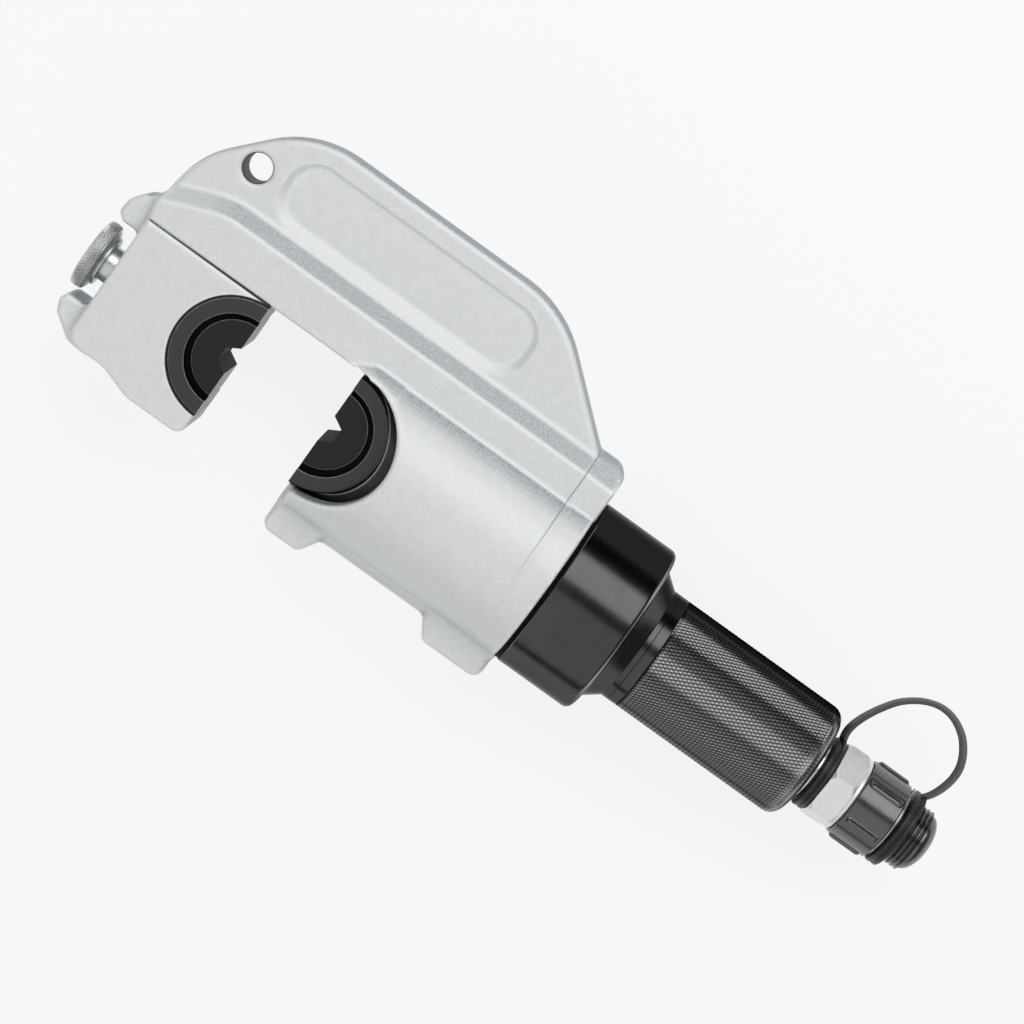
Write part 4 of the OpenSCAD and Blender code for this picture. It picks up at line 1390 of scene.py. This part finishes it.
@dataclass(frozen=True)
class DieLatch:
    """The die latch: knurled pull knob and the bush that it slides on."""

    bench: Bench
    bush_r: float = 6.75
    bush_shank_r: float = 4.95
    bush_bore_r: float = 3.1
    bush_head: float = 6.8
    knob_r: float = 13.0
    knob_face_r: float = 11.8
    knob_back_r: float = 10.5
    knob_well_r: float = 7.2
    knob_well: float = 2.5
    rim_start: float = 0.6
    rim_less: float = 2.6
    rim_crown: float = 0.4
    screw_bore_r: float = 1.3
    screw_head_r: float = 2.65
    screw_seat: float = 1.2
    pin_bore_r: float = 3.05
    pin_stop: float = 1.6
    knurl_depth: float = 0.35
    knurl_count: int = 72
    knurl_flat: float = 0.8
    knurl_fade: float = 6.0
    samples: int = 4

    def build(self) -> None:
        """Makes the bush and the knob, and dresses the pin and the screw."""
        start, end = self.bench.datum.span("latch_bush")
        head = start + self.bush_head
        bush = turned([(start, self.bush_bore_r, 0.2), (start, self.bush_r, 0.9), (head, self.bush_r, 0.2),
                       (head, self.bush_shank_r, 0), (end, self.bush_shank_r, 0.3), (end, self.bush_bore_r, 0)])
        self.bench.piece("latch_bush_turned", bush, BRIGHT_STEEL, ["latch_bush"], "frame")
        self.bench.piece("latch_knob_knurled", self.knob(), BRIGHT_STEEL, ["latch_knob"], "latch", sharp=24.0)
        self.bench.dress(BRIGHT_STEEL, "latch_pin", "knob_screw")

    def knob(self) -> Skin:
        """Turns the knob's profile, with a diamond knurl raised on its crowned rim.

        The rim's rows and columns are a quarter of a diamond apart, so that each groove falls on points.

        Returns:
            The knob's skin.
        """
        face, back = self.bench.datum.span("latch_knob")
        pitch = FULL_TURN * self.knob_r / self.knurl_count
        rows = int((back - face - self.rim_less) / pitch * self.samples)
        rim_x = face + self.rim_start + np.arange(rows + 1) * pitch / self.samples
        crown = 2 * (rim_x - face - self.rim_start) / (rows * pitch / self.samples) - 1
        rim = np.stack([rim_x, self.knob_r - self.knurl_depth - self.rim_crown * crown ** 2], -1)
        seat, stop, well = face + self.screw_seat, face + self.pin_stop, back - self.knob_well
        front = rounded_outline([(seat, self.screw_bore_r, 0), (seat, self.screw_head_r, 0),
                                 (face, self.screw_head_r, 0.2), (face, self.knob_face_r, 0.4)])
        rear = rounded_outline([(back, self.knob_back_r, 0.4), (back, self.knob_well_r, 0.3),
                                (well, self.knob_well_r, 0), (well, self.pin_bore_r, 0), (stop, self.pin_bore_r, 0),
                                (stop, self.screw_bore_r, 0)])
        steps = self.knurl_count * self.samples
        around = np.arange(steps) / self.samples
        along = (rim_x - rim_x[0]) / pitch
        fade = np.clip((1 - np.abs(crown)) * self.knurl_fade, 0, 1)
        rise = diamond(around[None], along[:, None], self.knurl_flat) * fade[:, None] * self.knurl_depth
        return raised_skin(front, rim, rear, steps, rise, grooved=True)


@dataclass(frozen=True)
class CylinderBase:
    """The black base collar behind the barrel, with its cone down to the handle, and its gasket."""

    bench: Bench
    spigot_r: float = 26.35
    collar_r: float = 33.0
    collar_len: float = 30.0
    cone_r: float = 27.0
    neck_r: float = 22.0
    lip: float = 2.0
    pocket_r: float = 13.0
    pocket_x: float = 4.0
    oil_r: float = 2.5
    socket_x: float = 17.5
    front_line: Span = (0.03, 0.2)
    rear_line: Span = (1.3, 0.5)

    def build(self) -> None:
        """Turns the base and dresses the gasket and the sealing ring."""
        start, end = self.bench.datum.span("cylinder_base")
        skin = turned([
            (self.pocket_x, self.oil_r, 0), (self.pocket_x, self.pocket_r, 0), (start, self.pocket_r, 0),
            (start, self.spigot_r, 0.4), (0, self.spigot_r, 0), (0, self.collar_r, 0.5),
            (self.collar_len, self.collar_r, 2.6), (self.collar_len, self.cone_r, 0.9),
            (end - self.lip, self.neck_r, 0.8), (end, self.neck_r, 0.1), (end, self.pocket_r, 0),
            (self.socket_x, self.pocket_r, 0), (self.socket_x, self.oil_r, 0)], steps=192)
        collar = self.bench.piece("base_collar", skin, COLLAR_BLACK, ["cylinder_base"], "frame", sharp=40.0)
        # Painted highlight lines at the collar's front edge and at its rear edge.
        rear_line = tuple(self.collar_len - inset for inset in self.rear_line)
        self.bench.repaint(collar, COLLAR_EDGE_HIGHLIGHT, lambda p: within(p[:, 0], self.front_line) | (
            within(p[:, 0], rear_line) & (np.hypot(p[:, 1], p[:, 2]) > self.cone_r)))
        self.bench.dress(SEAL_RUBBER, "base_gasket", "base_o_ring")


@dataclass(frozen=True)
class KnurledHandle:
    """The black handle with a smooth front ring and a diamond knurl that runs over its rear edge."""

    bench: Bench
    radius: float = 22.0
    spigot_r: float = 12.95
    bore_r: float = 4.0
    seat_r: float = 8.55
    seat_len: float = 16.0
    spigot_len: float = 20.0
    ring_len: float = 4.2
    ring_edge: Span = (0.7, 0.4)
    edge_r: float = 5.0
    edge_gap: float = 0.1
    edge_rows: int = 6
    rear_plain: float = 0.9
    paint_lap: Span = (0.5, 0.7)
    knurl_depth: float = 0.24
    knurl_count: int = 102
    knurl_stretch: float = 2.0
    knurl_flat: float = 0.95
    knurl_fade: float = 3.0
    samples: int = 4

    def build(self) -> None:
        """Makes the knurled handle and dresses its sealing ring."""
        handle = self.bench.piece("handle_knurled", self.skin(), KNURL_BLACK, ["handle"], "frame", sharp=12.0)
        first, end = self.bench.datum.span("handle")
        knurled = (first + self.spigot_len + self.ring_len - self.paint_lap[0],
                   end - self.rear_plain - self.paint_lap[1])
        self.bench.repaint(handle, COLLAR_BLACK, lambda p: ~within(p[:, 0], knurled))
        self.bench.dress(SEAL_RUBBER, "handle_o_ring")

    def skin(self) -> Skin:
        """Turns the handle's profile and sinks the grooves of the knurl into it.

        Rows and columns of the knurl are a quarter of a diamond apart: row i and column j give the two groove
        families i + j and i - j, so that each groove falls on points.

        Returns:
            The handle's skin.
        """
        first, end = self.bench.datum.span("handle")
        start = first + self.spigot_len
        pitch = FULL_TURN * self.radius / self.knurl_count
        begin = start + self.ring_len
        step = pitch * self.knurl_stretch / self.samples
        rows = int((end - self.rear_plain - begin) / step)
        x = begin + np.arange(rows + 1) * step
        past = np.clip(x - (end - self.edge_r), 0, None)
        grip = np.stack([x, self.radius - self.edge_r + np.sqrt(self.edge_r ** 2 - past ** 2)], -1)
        ring_end, groove = (begin - gap for gap in self.ring_edge)
        front = rounded_outline([(first, self.bore_r, 0), (first, self.spigot_r, 0.5), (start, self.spigot_r, 0),
                                 (start, self.radius, 0.15), (ring_end, self.radius, 0.3),
                                 (groove, self.radius - self.knurl_depth, 0)])
        angle = np.linspace(math.asin(past[-1] / self.edge_r) + self.edge_gap, math.pi / 2, self.edge_rows)
        edge = np.stack([end - self.edge_r + self.edge_r * np.sin(angle),
                         self.radius - self.edge_r + self.edge_r * np.cos(angle)], -1)
        rear = np.array([(end, self.seat_r), (end - self.seat_len, self.seat_r), (end - self.seat_len, self.bore_r)])
        steps = self.knurl_count * self.samples
        around = np.arange(steps) / self.samples
        along = np.arange(rows + 1)[:, None] / self.samples
        fade = np.clip((end - self.rear_plain - x) / self.knurl_fade, 0, 1)[:, None]
        sunk = (diamond(around, along, self.knurl_flat) - 1) * self.knurl_depth * fade
        return raised_skin(front, grip, np.concatenate([edge, rear]), steps, sunk, grooved=True)


@dataclass(frozen=True)
class Coupler:
    """The screw coupler: washer, hexagonal body, thrust ring, ribbed nut and its retaining ring."""

    bench: Bench
    fit: float = 0.05
    shank_r: float = 8.5
    neck_r: float = 9.5
    neck_len: float = 4.5
    hex_af: float = 27.0
    hex_len: float = 9.5
    hex_turn: float = 20.0
    hex_chamfer: float = 1.2
    hex_slope: float = 0.75
    hex_reach: float = 1.6
    hex_rows: int = 12
    hex_steps: int = 216
    sleeve_r: float = 11.95
    chamber_r: float = 6.5
    seat_r: float = 4.2
    seat_len: float = 3.0
    mouth_r: float = 9.0
    mouth_len: float = 14.0
    washer_r: float = 11.5
    thrust_r: float = 14.0
    nut_r: float = 14.8
    nut_bore_r: float = 12.05
    nut_edge: float = 1.1
    rib_count: int = 6
    rib_turn: float = 40.0
    rib_w: float = 1.5
    rib_h: float = 1.1
    rib_end: float = 1.2
    rib_rows: int = 24
    ring_r: float = 13.2
    tab_h: float = 2.4
    tab_w: float = 2.2
    tab_slope: float = 0.3
    tab_turns: Span = (78.0, 262.0)
    steps: int = 432

    def build(self) -> None:
        """Makes the coupler's pieces and dresses the valve inside it."""
        washer, thrust = self.bench.datum.span("neck_washer"), self.bench.datum.span("thrust_ring")
        self.bench.piece("neck_washer_turned", self.ring(washer, self.washer_r, self.shank_r + self.fit, 0.4),
                         BRIGHT_STEEL, ["neck_washer"], "frame")
        self.bench.piece("coupler_hexagon", self.body(), NICKEL, ["coupler_body"], "frame", sharp=28.0)
        self.bench.piece("thrust_ring_plated", self.ring(thrust, self.thrust_r, self.sleeve_r + self.fit, 0.35),
                         NICKEL, ["thrust_ring"], "frame")
        self.bench.piece("coupler_nut_ribbed", self.nut(), MOULDED_BLACK, ["coupler_nut"], "nut", sharp=30.0)
        self.bench.piece("retaining_ring_tabbed", self.retainer(), SPRING_STEEL, ["nut_retaining_ring"], "frame",
                         sharp=30.0)
        self.bench.dress(BRASS, "poppet", "poppet_guide")

    @staticmethod
    def ring(span: Span, outer: float, inner: float, edge: float) -> Skin:
        """Turns a flat ring with rounded outer edges."""
        start, end = span
        return turned([(start, inner, 0), (start, outer, edge), (end, outer, edge), (end, inner, 0)])

    def retainer(self) -> Skin:
        """Turns the retaining ring and lifts its two tabs: a steep bump about each tab's angle.

        Returns:
            The ring's skin.
        """
        start, end = self.bench.datum.span("nut_retaining_ring")
        inner = self.sleeve_r + self.fit
        profile = rounded_outline([(start, inner, 0), (start, self.ring_r, 0.2), (end, self.ring_r, 0.2),
                                   (end, inner, 0)])
        angle = np.degrees(angles(self.steps))
        off = np.min([off_nearest(angle - turn, 360) for turn in self.tab_turns], 0)
        bump = np.clip((self.tab_w / 2 - off * math.radians(1) * self.ring_r) / self.tab_slope + 0.5, 0, 1)
        outer = profile[:, 1] > (self.sleeve_r + self.ring_r) / 2
        rise = self.tab_h * bump[None] * outer[:, None]
        return raised_skin(profile[:0], profile, profile[:0], self.steps, rise)

    def body(self) -> Skin:
        """Turns the body's profile, whose hexagon is the least of six flats and two chamfer cones.

        The radius on the hexagon's rows is the lesser of half the width across flats over the cosine of the angle
        to the nearest flat, and the cone of the chamfer at that place.

        Returns:
            The body's skin.
        """
        first, last = self.bench.datum.span("coupler_body")
        neck = self.bench.datum.span("neck_washer")[1]
        start = neck + self.neck_len
        end = start + self.hex_len
        corner = self.hex_af / math.sqrt(3)
        near = np.linspace(0, self.hex_chamfer * self.hex_reach, self.hex_rows)
        hexagon = np.concatenate([start + near, end - near[::-1]])
        flats = np.stack([hexagon, np.full_like(hexagon, corner)], -1)
        mouth = last - self.mouth_len
        seat = mouth - self.seat_len
        front = rounded_outline([(first, self.chamber_r, 0), (first, self.shank_r, 0.5), (neck, self.shank_r, 0),
                                 (neck, self.neck_r, 0.2), (start, self.neck_r, 0)])
        rear = rounded_outline([(end, self.sleeve_r, 0), (last, self.sleeve_r, 0.4), (last, self.mouth_r, 0.5),
                                (mouth, self.mouth_r, 0), (mouth, self.seat_r, 0.3), (seat, self.seat_r, 0),
                                (seat, self.chamber_r, 0)])
        angle = angles(self.hex_steps) - math.radians(self.hex_turn)
        wide = self.hex_af / 2 / np.cos(angle % (math.pi / 3) - math.pi / 6)
        inset = np.minimum(hexagon - start, end - hexagon)
        cone = corner - self.hex_chamfer + inset * self.hex_slope
        rise = np.minimum(wide[None], cone[:, None]) - corner
        return raised_skin(front, flats, rear, self.hex_steps, rise)

    def nut(self) -> Skin:
        """Turns the nut's profile and raises its ribs: a smooth bump about each rib's line, less near the ends.

        Returns:
            The nut's skin.
        """
        start, end = self.bench.datum.span("coupler_nut")
        x = np.linspace(start + self.rib_end, end - self.rib_end, self.rib_rows)
        grip = np.stack([x, np.full_like(x, self.nut_r)], -1)
        front = rounded_outline([(start, self.nut_bore_r, 0.3), (start, self.nut_r, 0.9),
                                 (start + self.nut_edge, self.nut_r, 0)])
        rear = rounded_outline([(end - self.nut_edge, self.nut_r, 0), (end, self.nut_r, 0.9),
                                (end, self.nut_bore_r, 0.3)])
        angle = np.degrees(angles(self.steps)) - self.rib_turn
        off = off_nearest(angle, 360 / self.rib_count) * math.radians(1) * self.nut_r
        bump = np.clip((self.rib_w - off) / (self.rib_w / 2), 0, 1)
        ends = np.clip(np.minimum(x - x[0], x[-1] - x) / self.rib_end, 0, 1)[:, None]
        rise = self.rib_h * bump ** 2 * (3 - 2 * bump) * np.sqrt(ends)
        return raised_skin(front[:-1], grip, rear[1:], self.steps, rise)


@dataclass(frozen=True)
class DustPlug:
    """The dust plug: stem, neck for the strap's eye, ribbed head and domed end."""

    bench: Bench
    stem_r: float = 8.8
    neck_r: float = 9.6
    stem_len: float = 11.5
    neck_len: float = 4.2
    head_r: float = 12.0
    head_edge: float = 0.3
    ribbed_len: float = 5.6
    rib_count: int = 3
    rib_rows: int = 16
    rib_power: float = 1.5
    groove: float = 0.8
    dome_r: float = 11.0
    dome_rows: int = 24
    dome_power: float = 0.9
    steps: int = 128

    def build(self) -> None:
        """Makes the plug and dresses its sealing ring."""
        self.bench.piece("dust_plug_moulded", self.skin(), MOULDED_BLACK, ["dust_plug"], "plug", sharp=40.0)
        self.bench.dress(SEAL_RUBBER, "plug_o_ring")

    def skin(self) -> Skin:
        """Turns the plug's profile from its tip to the top of its dome.

        The head's ribs are a power of a cosine wave, and the dome is a quarter of a flat ellipse with a small brim.

        Returns:
            The plug's skin, closed by a point at each end.
        """
        tip, end = self.bench.datum.span("dust_plug")
        neck = tip + self.stem_len
        head = neck + self.neck_len
        dome = head + self.ribbed_len
        wave = np.linspace(0, 1, self.rib_rows * self.rib_count + 1)
        dip = (0.5 - 0.5 * np.cos(FULL_TURN * self.rib_count * wave)) ** self.rib_power
        ribs = np.stack([head + self.head_edge + (self.ribbed_len - self.head_edge) * wave,
                         self.head_r - self.groove * dip], -1)
        angle = np.linspace(0, math.pi / 2, self.dome_rows)
        top = np.stack([dome + (end - dome) * np.sin(angle) ** self.dome_power, self.dome_r * np.cos(angle)], -1)
        stem = rounded_outline([(tip, 0, 0), (tip, self.stem_r, 1.0), (neck, self.stem_r, 0),
                                (neck, self.neck_r, 0.2), (head, self.neck_r, 0.3),
                                (head, self.head_r - self.head_edge, 0)])
        return grid_skin(turned_points(np.concatenate([stem, ribs, top]), self.steps), False, True)


@dataclass(frozen=True)
class PlugStrap:
    """The rubber strap that ties the dust plug to the coupler's neck, with an eye at each end."""

    bench: Bench
    width: float = 4.4
    thick: float = 1.5
    eye_w: float = 4.0
    front_eye: Span = (9.8, 14.0)
    rear_eye: Span = (9.9, 15.0)
    root_drop: float = 1.0
    loop_h: float = 30.7
    rear_tilt: float = 4.0
    eye_shear: float = 0.5
    neck_gap: float = 0.25
    plug_gap: float = 0.1
    paint_lap: float = 0.1
    band_edge: float = 0.5
    edge_steps: int = 4
    ridge_shares: Tuple[float, ...] = (0.38, 0.44, 0.56, 0.62)
    ridge_drop: float = 0.5
    route: Tuple[Span, ...] = (
        (0, 0), (-0.03, 0.13), (-0.02, 0.26), (0.03, 0.42), (0.115, 0.6), (0.22, 0.765), (0.36, 0.895),
        (0.51, 0.975), (0.66, 1), (0.815, 0.965), (0.97, 0.865), (1.085, 0.72), (1.15, 0.57), (1.165, 0.42),
        (1.14, 0.26), (1.085, 0.115), (1, 0))
    twist: Tuple[float, ...] = (24, 16, 9, 4, 3, 14, 29, 38, 38, 28)
    steps: int = 10

    def build(self) -> None:
        """Makes the strap between the coupler and the plug, riding on no body."""
        neck = self.bench.datum.span("neck_washer")[1] + self.neck_gap
        rear = self.bench.datum.span("dust_plug")[0] + DustPlug(self.bench).stem_len + self.plug_gap
        skin = self.band(neck + self.eye_w / 2, rear + self.eye_w / 2).joined(
            self.eye(neck, self.front_eye, 0.0), self.eye(rear, self.rear_eye, self.rear_tilt))
        strap = self.bench.piece("plug_strap", skin, STRAP_RUBBER, ["cap_strap"], None, sharp=40.0)
        self.bench.repaint(strap, EYE_RUBBER, lambda p: (
            np.hypot(p[:, 1], p[:, 2]) < self.rear_eye[1] + self.paint_lap))
        start, end = self.bench.datum.metres([(neck + self.eye_w, 0, 0), (rear, 0, 0)])
        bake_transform(strap)

    def eye(self, start: float, radii: Span, tilt: float) -> Skin:
        """Turns an eye with two ridges round it, sheared so that it leans along the axis towards its top.

        Args:
            start: Place of its front face.
            radii: Its inner and outer radius.
            tilt: Lean in degrees.

        Returns:
            The eye's skin.
        """
        inner, outer = radii
        end, low = start + self.eye_w, outer - self.ridge_drop
        a, b, c, d = (start + self.eye_w * share for share in self.ridge_shares)
        skin = turned([(start, inner, 0.3), (start, outer, 0.6), (a, outer, 0.3), (b, low, 0.2), (c, low, 0.2),
                       (d, outer, 0.3), (end, outer, 0.6), (end, inner, 0.3)])
        skin.points[:, 0] += skin.points[:, 1] * math.tan(math.radians(tilt)) * self.eye_shear
        return skin

    def band(self, first: float, last: float) -> Skin:
        """Carries a rounded rectangle along the route, turned about its way by a smooth twist.

        The route is a smooth cubic through its points; each section lies square to the way and turns by the twist
        that the listed angles give at its share of the route.

        Args:
            first: Middle of the front eye along the ram axis.
            last: Middle of the rear eye.

        Returns:
            The band's skin.
        """
        marks = np.array(self.route, float)
        count = (len(marks) - 1) * self.steps + 1
        share = np.linspace(0, len(marks) - 1, count)
        k = np.minimum(share.astype(int), len(marks) - 2)
        t = (share - k)[:, None]
        ends = np.concatenate([marks[:1], marks, marks[-1:]])
        a, b, c, d = (ends[k + i] for i in range(4))
        s = b + (c - a) * t / 2 + (2 * a - 5 * b + 4 * c - d) / 2 * t ** 2 + (3 * b - a - 3 * c + d) / 2 * t ** 3
        root = self.front_eye[1] - self.root_drop
        path = np.stack([first + s[:, 0] * (last - first), root + s[:, 1] * self.loop_h], -1)
        way = np.gradient(path, axis=0)
        way /= np.linalg.norm(way, axis=1, keepdims=True)
        shares, knots = np.linspace(0, 1, count), np.linspace(0, 1, len(self.twist))
        turn = np.radians(np.interp(shares, knots, self.twist))[:, None]
        w, h, edge = self.width / 2, self.thick / 2, self.band_edge
        loop = rounded_outline([(-h, -w, edge), (h, -w, edge), (h, w, edge), (-h, w, edge)], self.edge_steps)
        side = loop[:, 0] * np.cos(turn) - loop[:, 1] * np.sin(turn)
        up = loop[:, 0] * np.sin(turn) + loop[:, 1] * np.cos(turn)
        points = np.stack([path[:, :1] - way[:, 1:] * side, path[:, 1:] + way[:, :1] * side, up], -1)
        return capped_skin(points)


@dataclass(frozen=True)
class Spring:
    """One coil spring: wire, mean radius and gap between turns."""

    node: str
    wire: float
    mean_r: float
    gap: float


@dataclass(frozen=True)
class SpringSet:
    """The four coil springs."""

    bench: Bench
    return_spring: Spring = Spring("return_spring", wire=2.2, mean_r=7.6, gap=0.9)
    latch_spring: Spring = Spring("latch_spring", wire=0.9, mean_r=4.0, gap=1.2)
    poppet_spring: Spring = Spring("poppet_spring", wire=0.9, mean_r=5.75, gap=2.0)
    detent_spring: Spring = Spring("detent_spring", wire=0.8, mean_r=2.5, gap=0.4)
    sides: int = 10
    rings: int = 28

    def build(self) -> None:
        """Makes each spring: three ride on no body, and the detent's rides on the ram."""
        for spring, mover, fixed_first in ((self.return_spring, "ram", False), (self.latch_spring, "latch", True),
                                           (self.poppet_spring, "poppet", True)):
            x = self.bench.datum.span(spring.node)
            piece = self.bench.piece(spring.node + "_coil", self.coil(spring, x), SPRING_STEEL, [spring.node], None)
            low, high = (tuple(p) for p in self.bench.datum.metres([(x[0], 0, 0), (x[1], 0, 0)]))
            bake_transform(piece)
        span = self.bench.datum.span(self.detent_spring.node)
        self.bench.piece("detent_spring_coil", self.coil(self.detent_spring, span), SPRING_STEEL,
                         [self.detent_spring.node], "ram")

    def coil(self, spring: Spring, span: Span) -> Skin:
        """Carries a round wire along a helix about the ram axis.

        The wire's middle is at (x0 + run t, m cos a, m sin a), with a = full turns times t, and each section lies
        in the plane of the axis and the radius.

        Args:
            spring: Wire, radius and gap.
            span: Ends of the spring along the axis.

        Returns:
            The spring's skin, with closed ends.
        """
        half = spring.wire / 2
        run = span[1] - span[0] - spring.wire
        turns = max(1, int(run / (spring.wire + spring.gap)))
        count = turns * self.rings + 1
        a = (np.arange(count) * FULL_TURN / self.rings)[:, None]
        b = angles(self.sides)
        r = spring.mean_r + half * np.cos(b)
        x = span[0] + half + run * np.linspace(0, 1, count)[:, None] + half * np.sin(b)
        return capped_skin(np.stack([x, r * np.cos(a), r * np.sin(a)], -1))


@dataclass(frozen=True)
class InnerParts:
    """Pieces that keep their CAD solids: the ram, its rings and seal, the spring's plugs and the detent ball."""

    bench: Bench

    def build(self) -> None:
        """Gives each of them its finish."""
        self.bench.dress(RAM_BLACK, "ram")
        self.bench.dress(RING_PLASTIC, "guide_ring", "backup_ring")
        self.bench.dress(SEAL_RUBBER, "piston_seal")
        self.bench.dress(SPRING_STEEL, "spring_front_plug", "spring_rear_plug")
        self.bench.dress(BRIGHT_STEEL, "detent_ball")


@dataclass(frozen=True)
class Studio:
    """Floor, light and camera. Lamps hang in metres from the tool's origin; eye and target are tool millimetres."""

    datum: Datum
    floor_size: float = 5.0
    floor_points: int = 9
    floor_waves: float = 3.0
    floor_shade: float = 0.985
    floor_rough: float = 0.9
    floor_gloss: float = 0.1
    floor_colour: Colour = (0.93, 0.93, 0.935)
    paper_white: Colour = (0.985, 0.987, 0.995)
    paper_share: float = 0.84
    lens: float = 113.7
    sensor: float = 36.0
    eye: Place = (-62.6, 200.7, 1100.0)
    target: Place = (-25.4, 11.5, 0.0)
    roll_degrees: float = 36.17
    key_size: Span = (2.6, 1.25)
    key_place: Place = (0.0, 1.178, 1.294)
    key_watts: float = 21.0
    fill_size: Span = (3.6, 3.4)
    fill_place: Place = (0.0, -1.083, 1.437)
    fill_watts: float = 25.0
    sky: Colour = (0.12, 0.125, 0.13)

    def build(self) -> None:
        """Makes the floor, the lights, the sky and the camera."""
        self.floor()
        self.lamp("key_softbox", self.key_place, self.key_size, self.key_watts)
        self.lamp("fill_softbox", self.fill_place, self.fill_size, self.fill_watts)
        self.world()
        self.camera()
        bpy.context.scene.view_settings.view_transform = "Standard"

    def floor(self) -> None:
        """Lays a plain pale floor under the tool: a flat grid with faintly mottled paint."""
        side = np.linspace(-self.floor_size / 2, self.floor_size / 2, self.floor_points)
        u, v = np.meshgrid(side, side, indexing="ij")
        skin = grid_skin(np.stack([u, v, 0 * u], -1), False, False)
        mesh = bpy.data.meshes.new("studio_floor")
        mesh.from_pydata(skin.points.tolist(), [], skin.faces)
        shading = Shading("floor_paper")
        cloud = shading.noise(shading.coordinates("Object"), self.floor_waves)
        shade = tuple(c * self.floor_shade for c in self.floor_colour)
        shading.put("Base Color", shading.mixed(cloud, shade, self.floor_colour))
        shading.put("Roughness", self.floor_rough)
        shading.put("Specular IOR Level", self.floor_gloss)
        self._whitened(shading)
        mesh.materials.append(shading.material)
        floor = bpy.data.objects.new("studio_floor", mesh)
        bpy.context.scene.collection.objects.link(floor)

    def _whitened(self, shading: Shading) -> None:
        """Mixes white into the paper for what the camera and reflections see of it, so that the shadow stays.

        Args:
            shading: The paper's nodes.
        """
        rays = shading.nodes.new("ShaderNodeLightPath").outputs
        seen = rays["Is Camera Ray"]
        for ray in ("Is Glossy Ray", "Is Transmission Ray"):
            seen = shading.combined(seen, rays[ray], "MAXIMUM")
        glow = shading.nodes.new("ShaderNodeEmission")
        shading.feed(glow.inputs["Color"], self.paper_white)
        mix = shading.nodes.new("ShaderNodeMixShader")
        layers = (shading.times(seen, self.paper_share), shading.shader.outputs[0], glow.outputs[0])
        for target, source in zip(mix.inputs, layers):
            shading.feed(target, source)
        shading.feed(shading.nodes["Material Output"].inputs["Surface"], mix.outputs[0])

    def lamp(self, name: str, place: Place, size: Span, watts: float) -> None:
        """Hangs a softbox that looks at the tool.

        Args:
            name: Name of the lamp.
            place: Where it hangs.
            size: Its width along x and its other side.
            watts: Its power.
        """
        light = bpy.data.lights.new(name, "AREA")
        light.shape = "RECTANGLE"
        light.size, light.size_y = size
        light.energy = watts
        lamp = bpy.data.objects.new(name, light)
        lamp.visible_camera = False
        spot = Vector(self.datum.origin) + Vector(place)
        back = Vector(place).normalized()
        right = Vector((1, 0, 0))
        up = back.cross(right).normalized()
        turn = Matrix((right, up, back)).transposed()
        lamp.matrix_world = Matrix.Translation(spot) @ turn.to_4x4()
        bpy.context.scene.collection.objects.link(lamp)

    def world(self) -> None:
        """Sets an even dim sky."""
        world = bpy.data.worlds.new("studio_sky")
        world.use_nodes = True
        world.node_tree.nodes["Background"].inputs["Color"].default_value = (*self.sky, 1.0)
        bpy.context.scene.world = world

    def camera(self) -> None:
        """Places the camera at the photographed angle: over the tool, rolled so that the ram axis runs slanting."""
        eye, target = (Vector(p) for p in self.datum.metres([self.eye, self.target]).tolist())
        back = (eye - target).normalized()
        roll = math.radians(self.roll_degrees)
        right = Vector((math.cos(roll), math.sin(roll), 0))
        right = (right - back * right.dot(back)).normalized()
        up = back.cross(right)
        lens = bpy.data.cameras.new("photo_camera")
        lens.lens = self.lens
        lens.sensor_width = self.sensor
        lens.dof.use_dof = False
        camera = bpy.data.objects.new("photo_camera", lens)
        camera.matrix_world = Matrix.Translation(eye) @ Matrix((right, up, back)).transposed().to_4x4()
        bpy.context.scene.collection.objects.link(camera)
        bpy.context.scene.camera = camera


def main() -> None:
    """Builds the sub-assemblies and the studio in order."""
    logging.basicConfig(level=logging.INFO, format="%(name)s: %(message)s")
    datum = Datum.from_frame()
    bench = Bench(datum)
    Studio(datum).build()
    for assembly in (ForgedFrame, DiePair, DieLatch, CylinderBase, KnurledHandle, Coupler, DustPlug, PlugStrap,
                     SpringSet, InnerParts):
        assembly(bench).build()


if __name__ == "__main__":
    main()
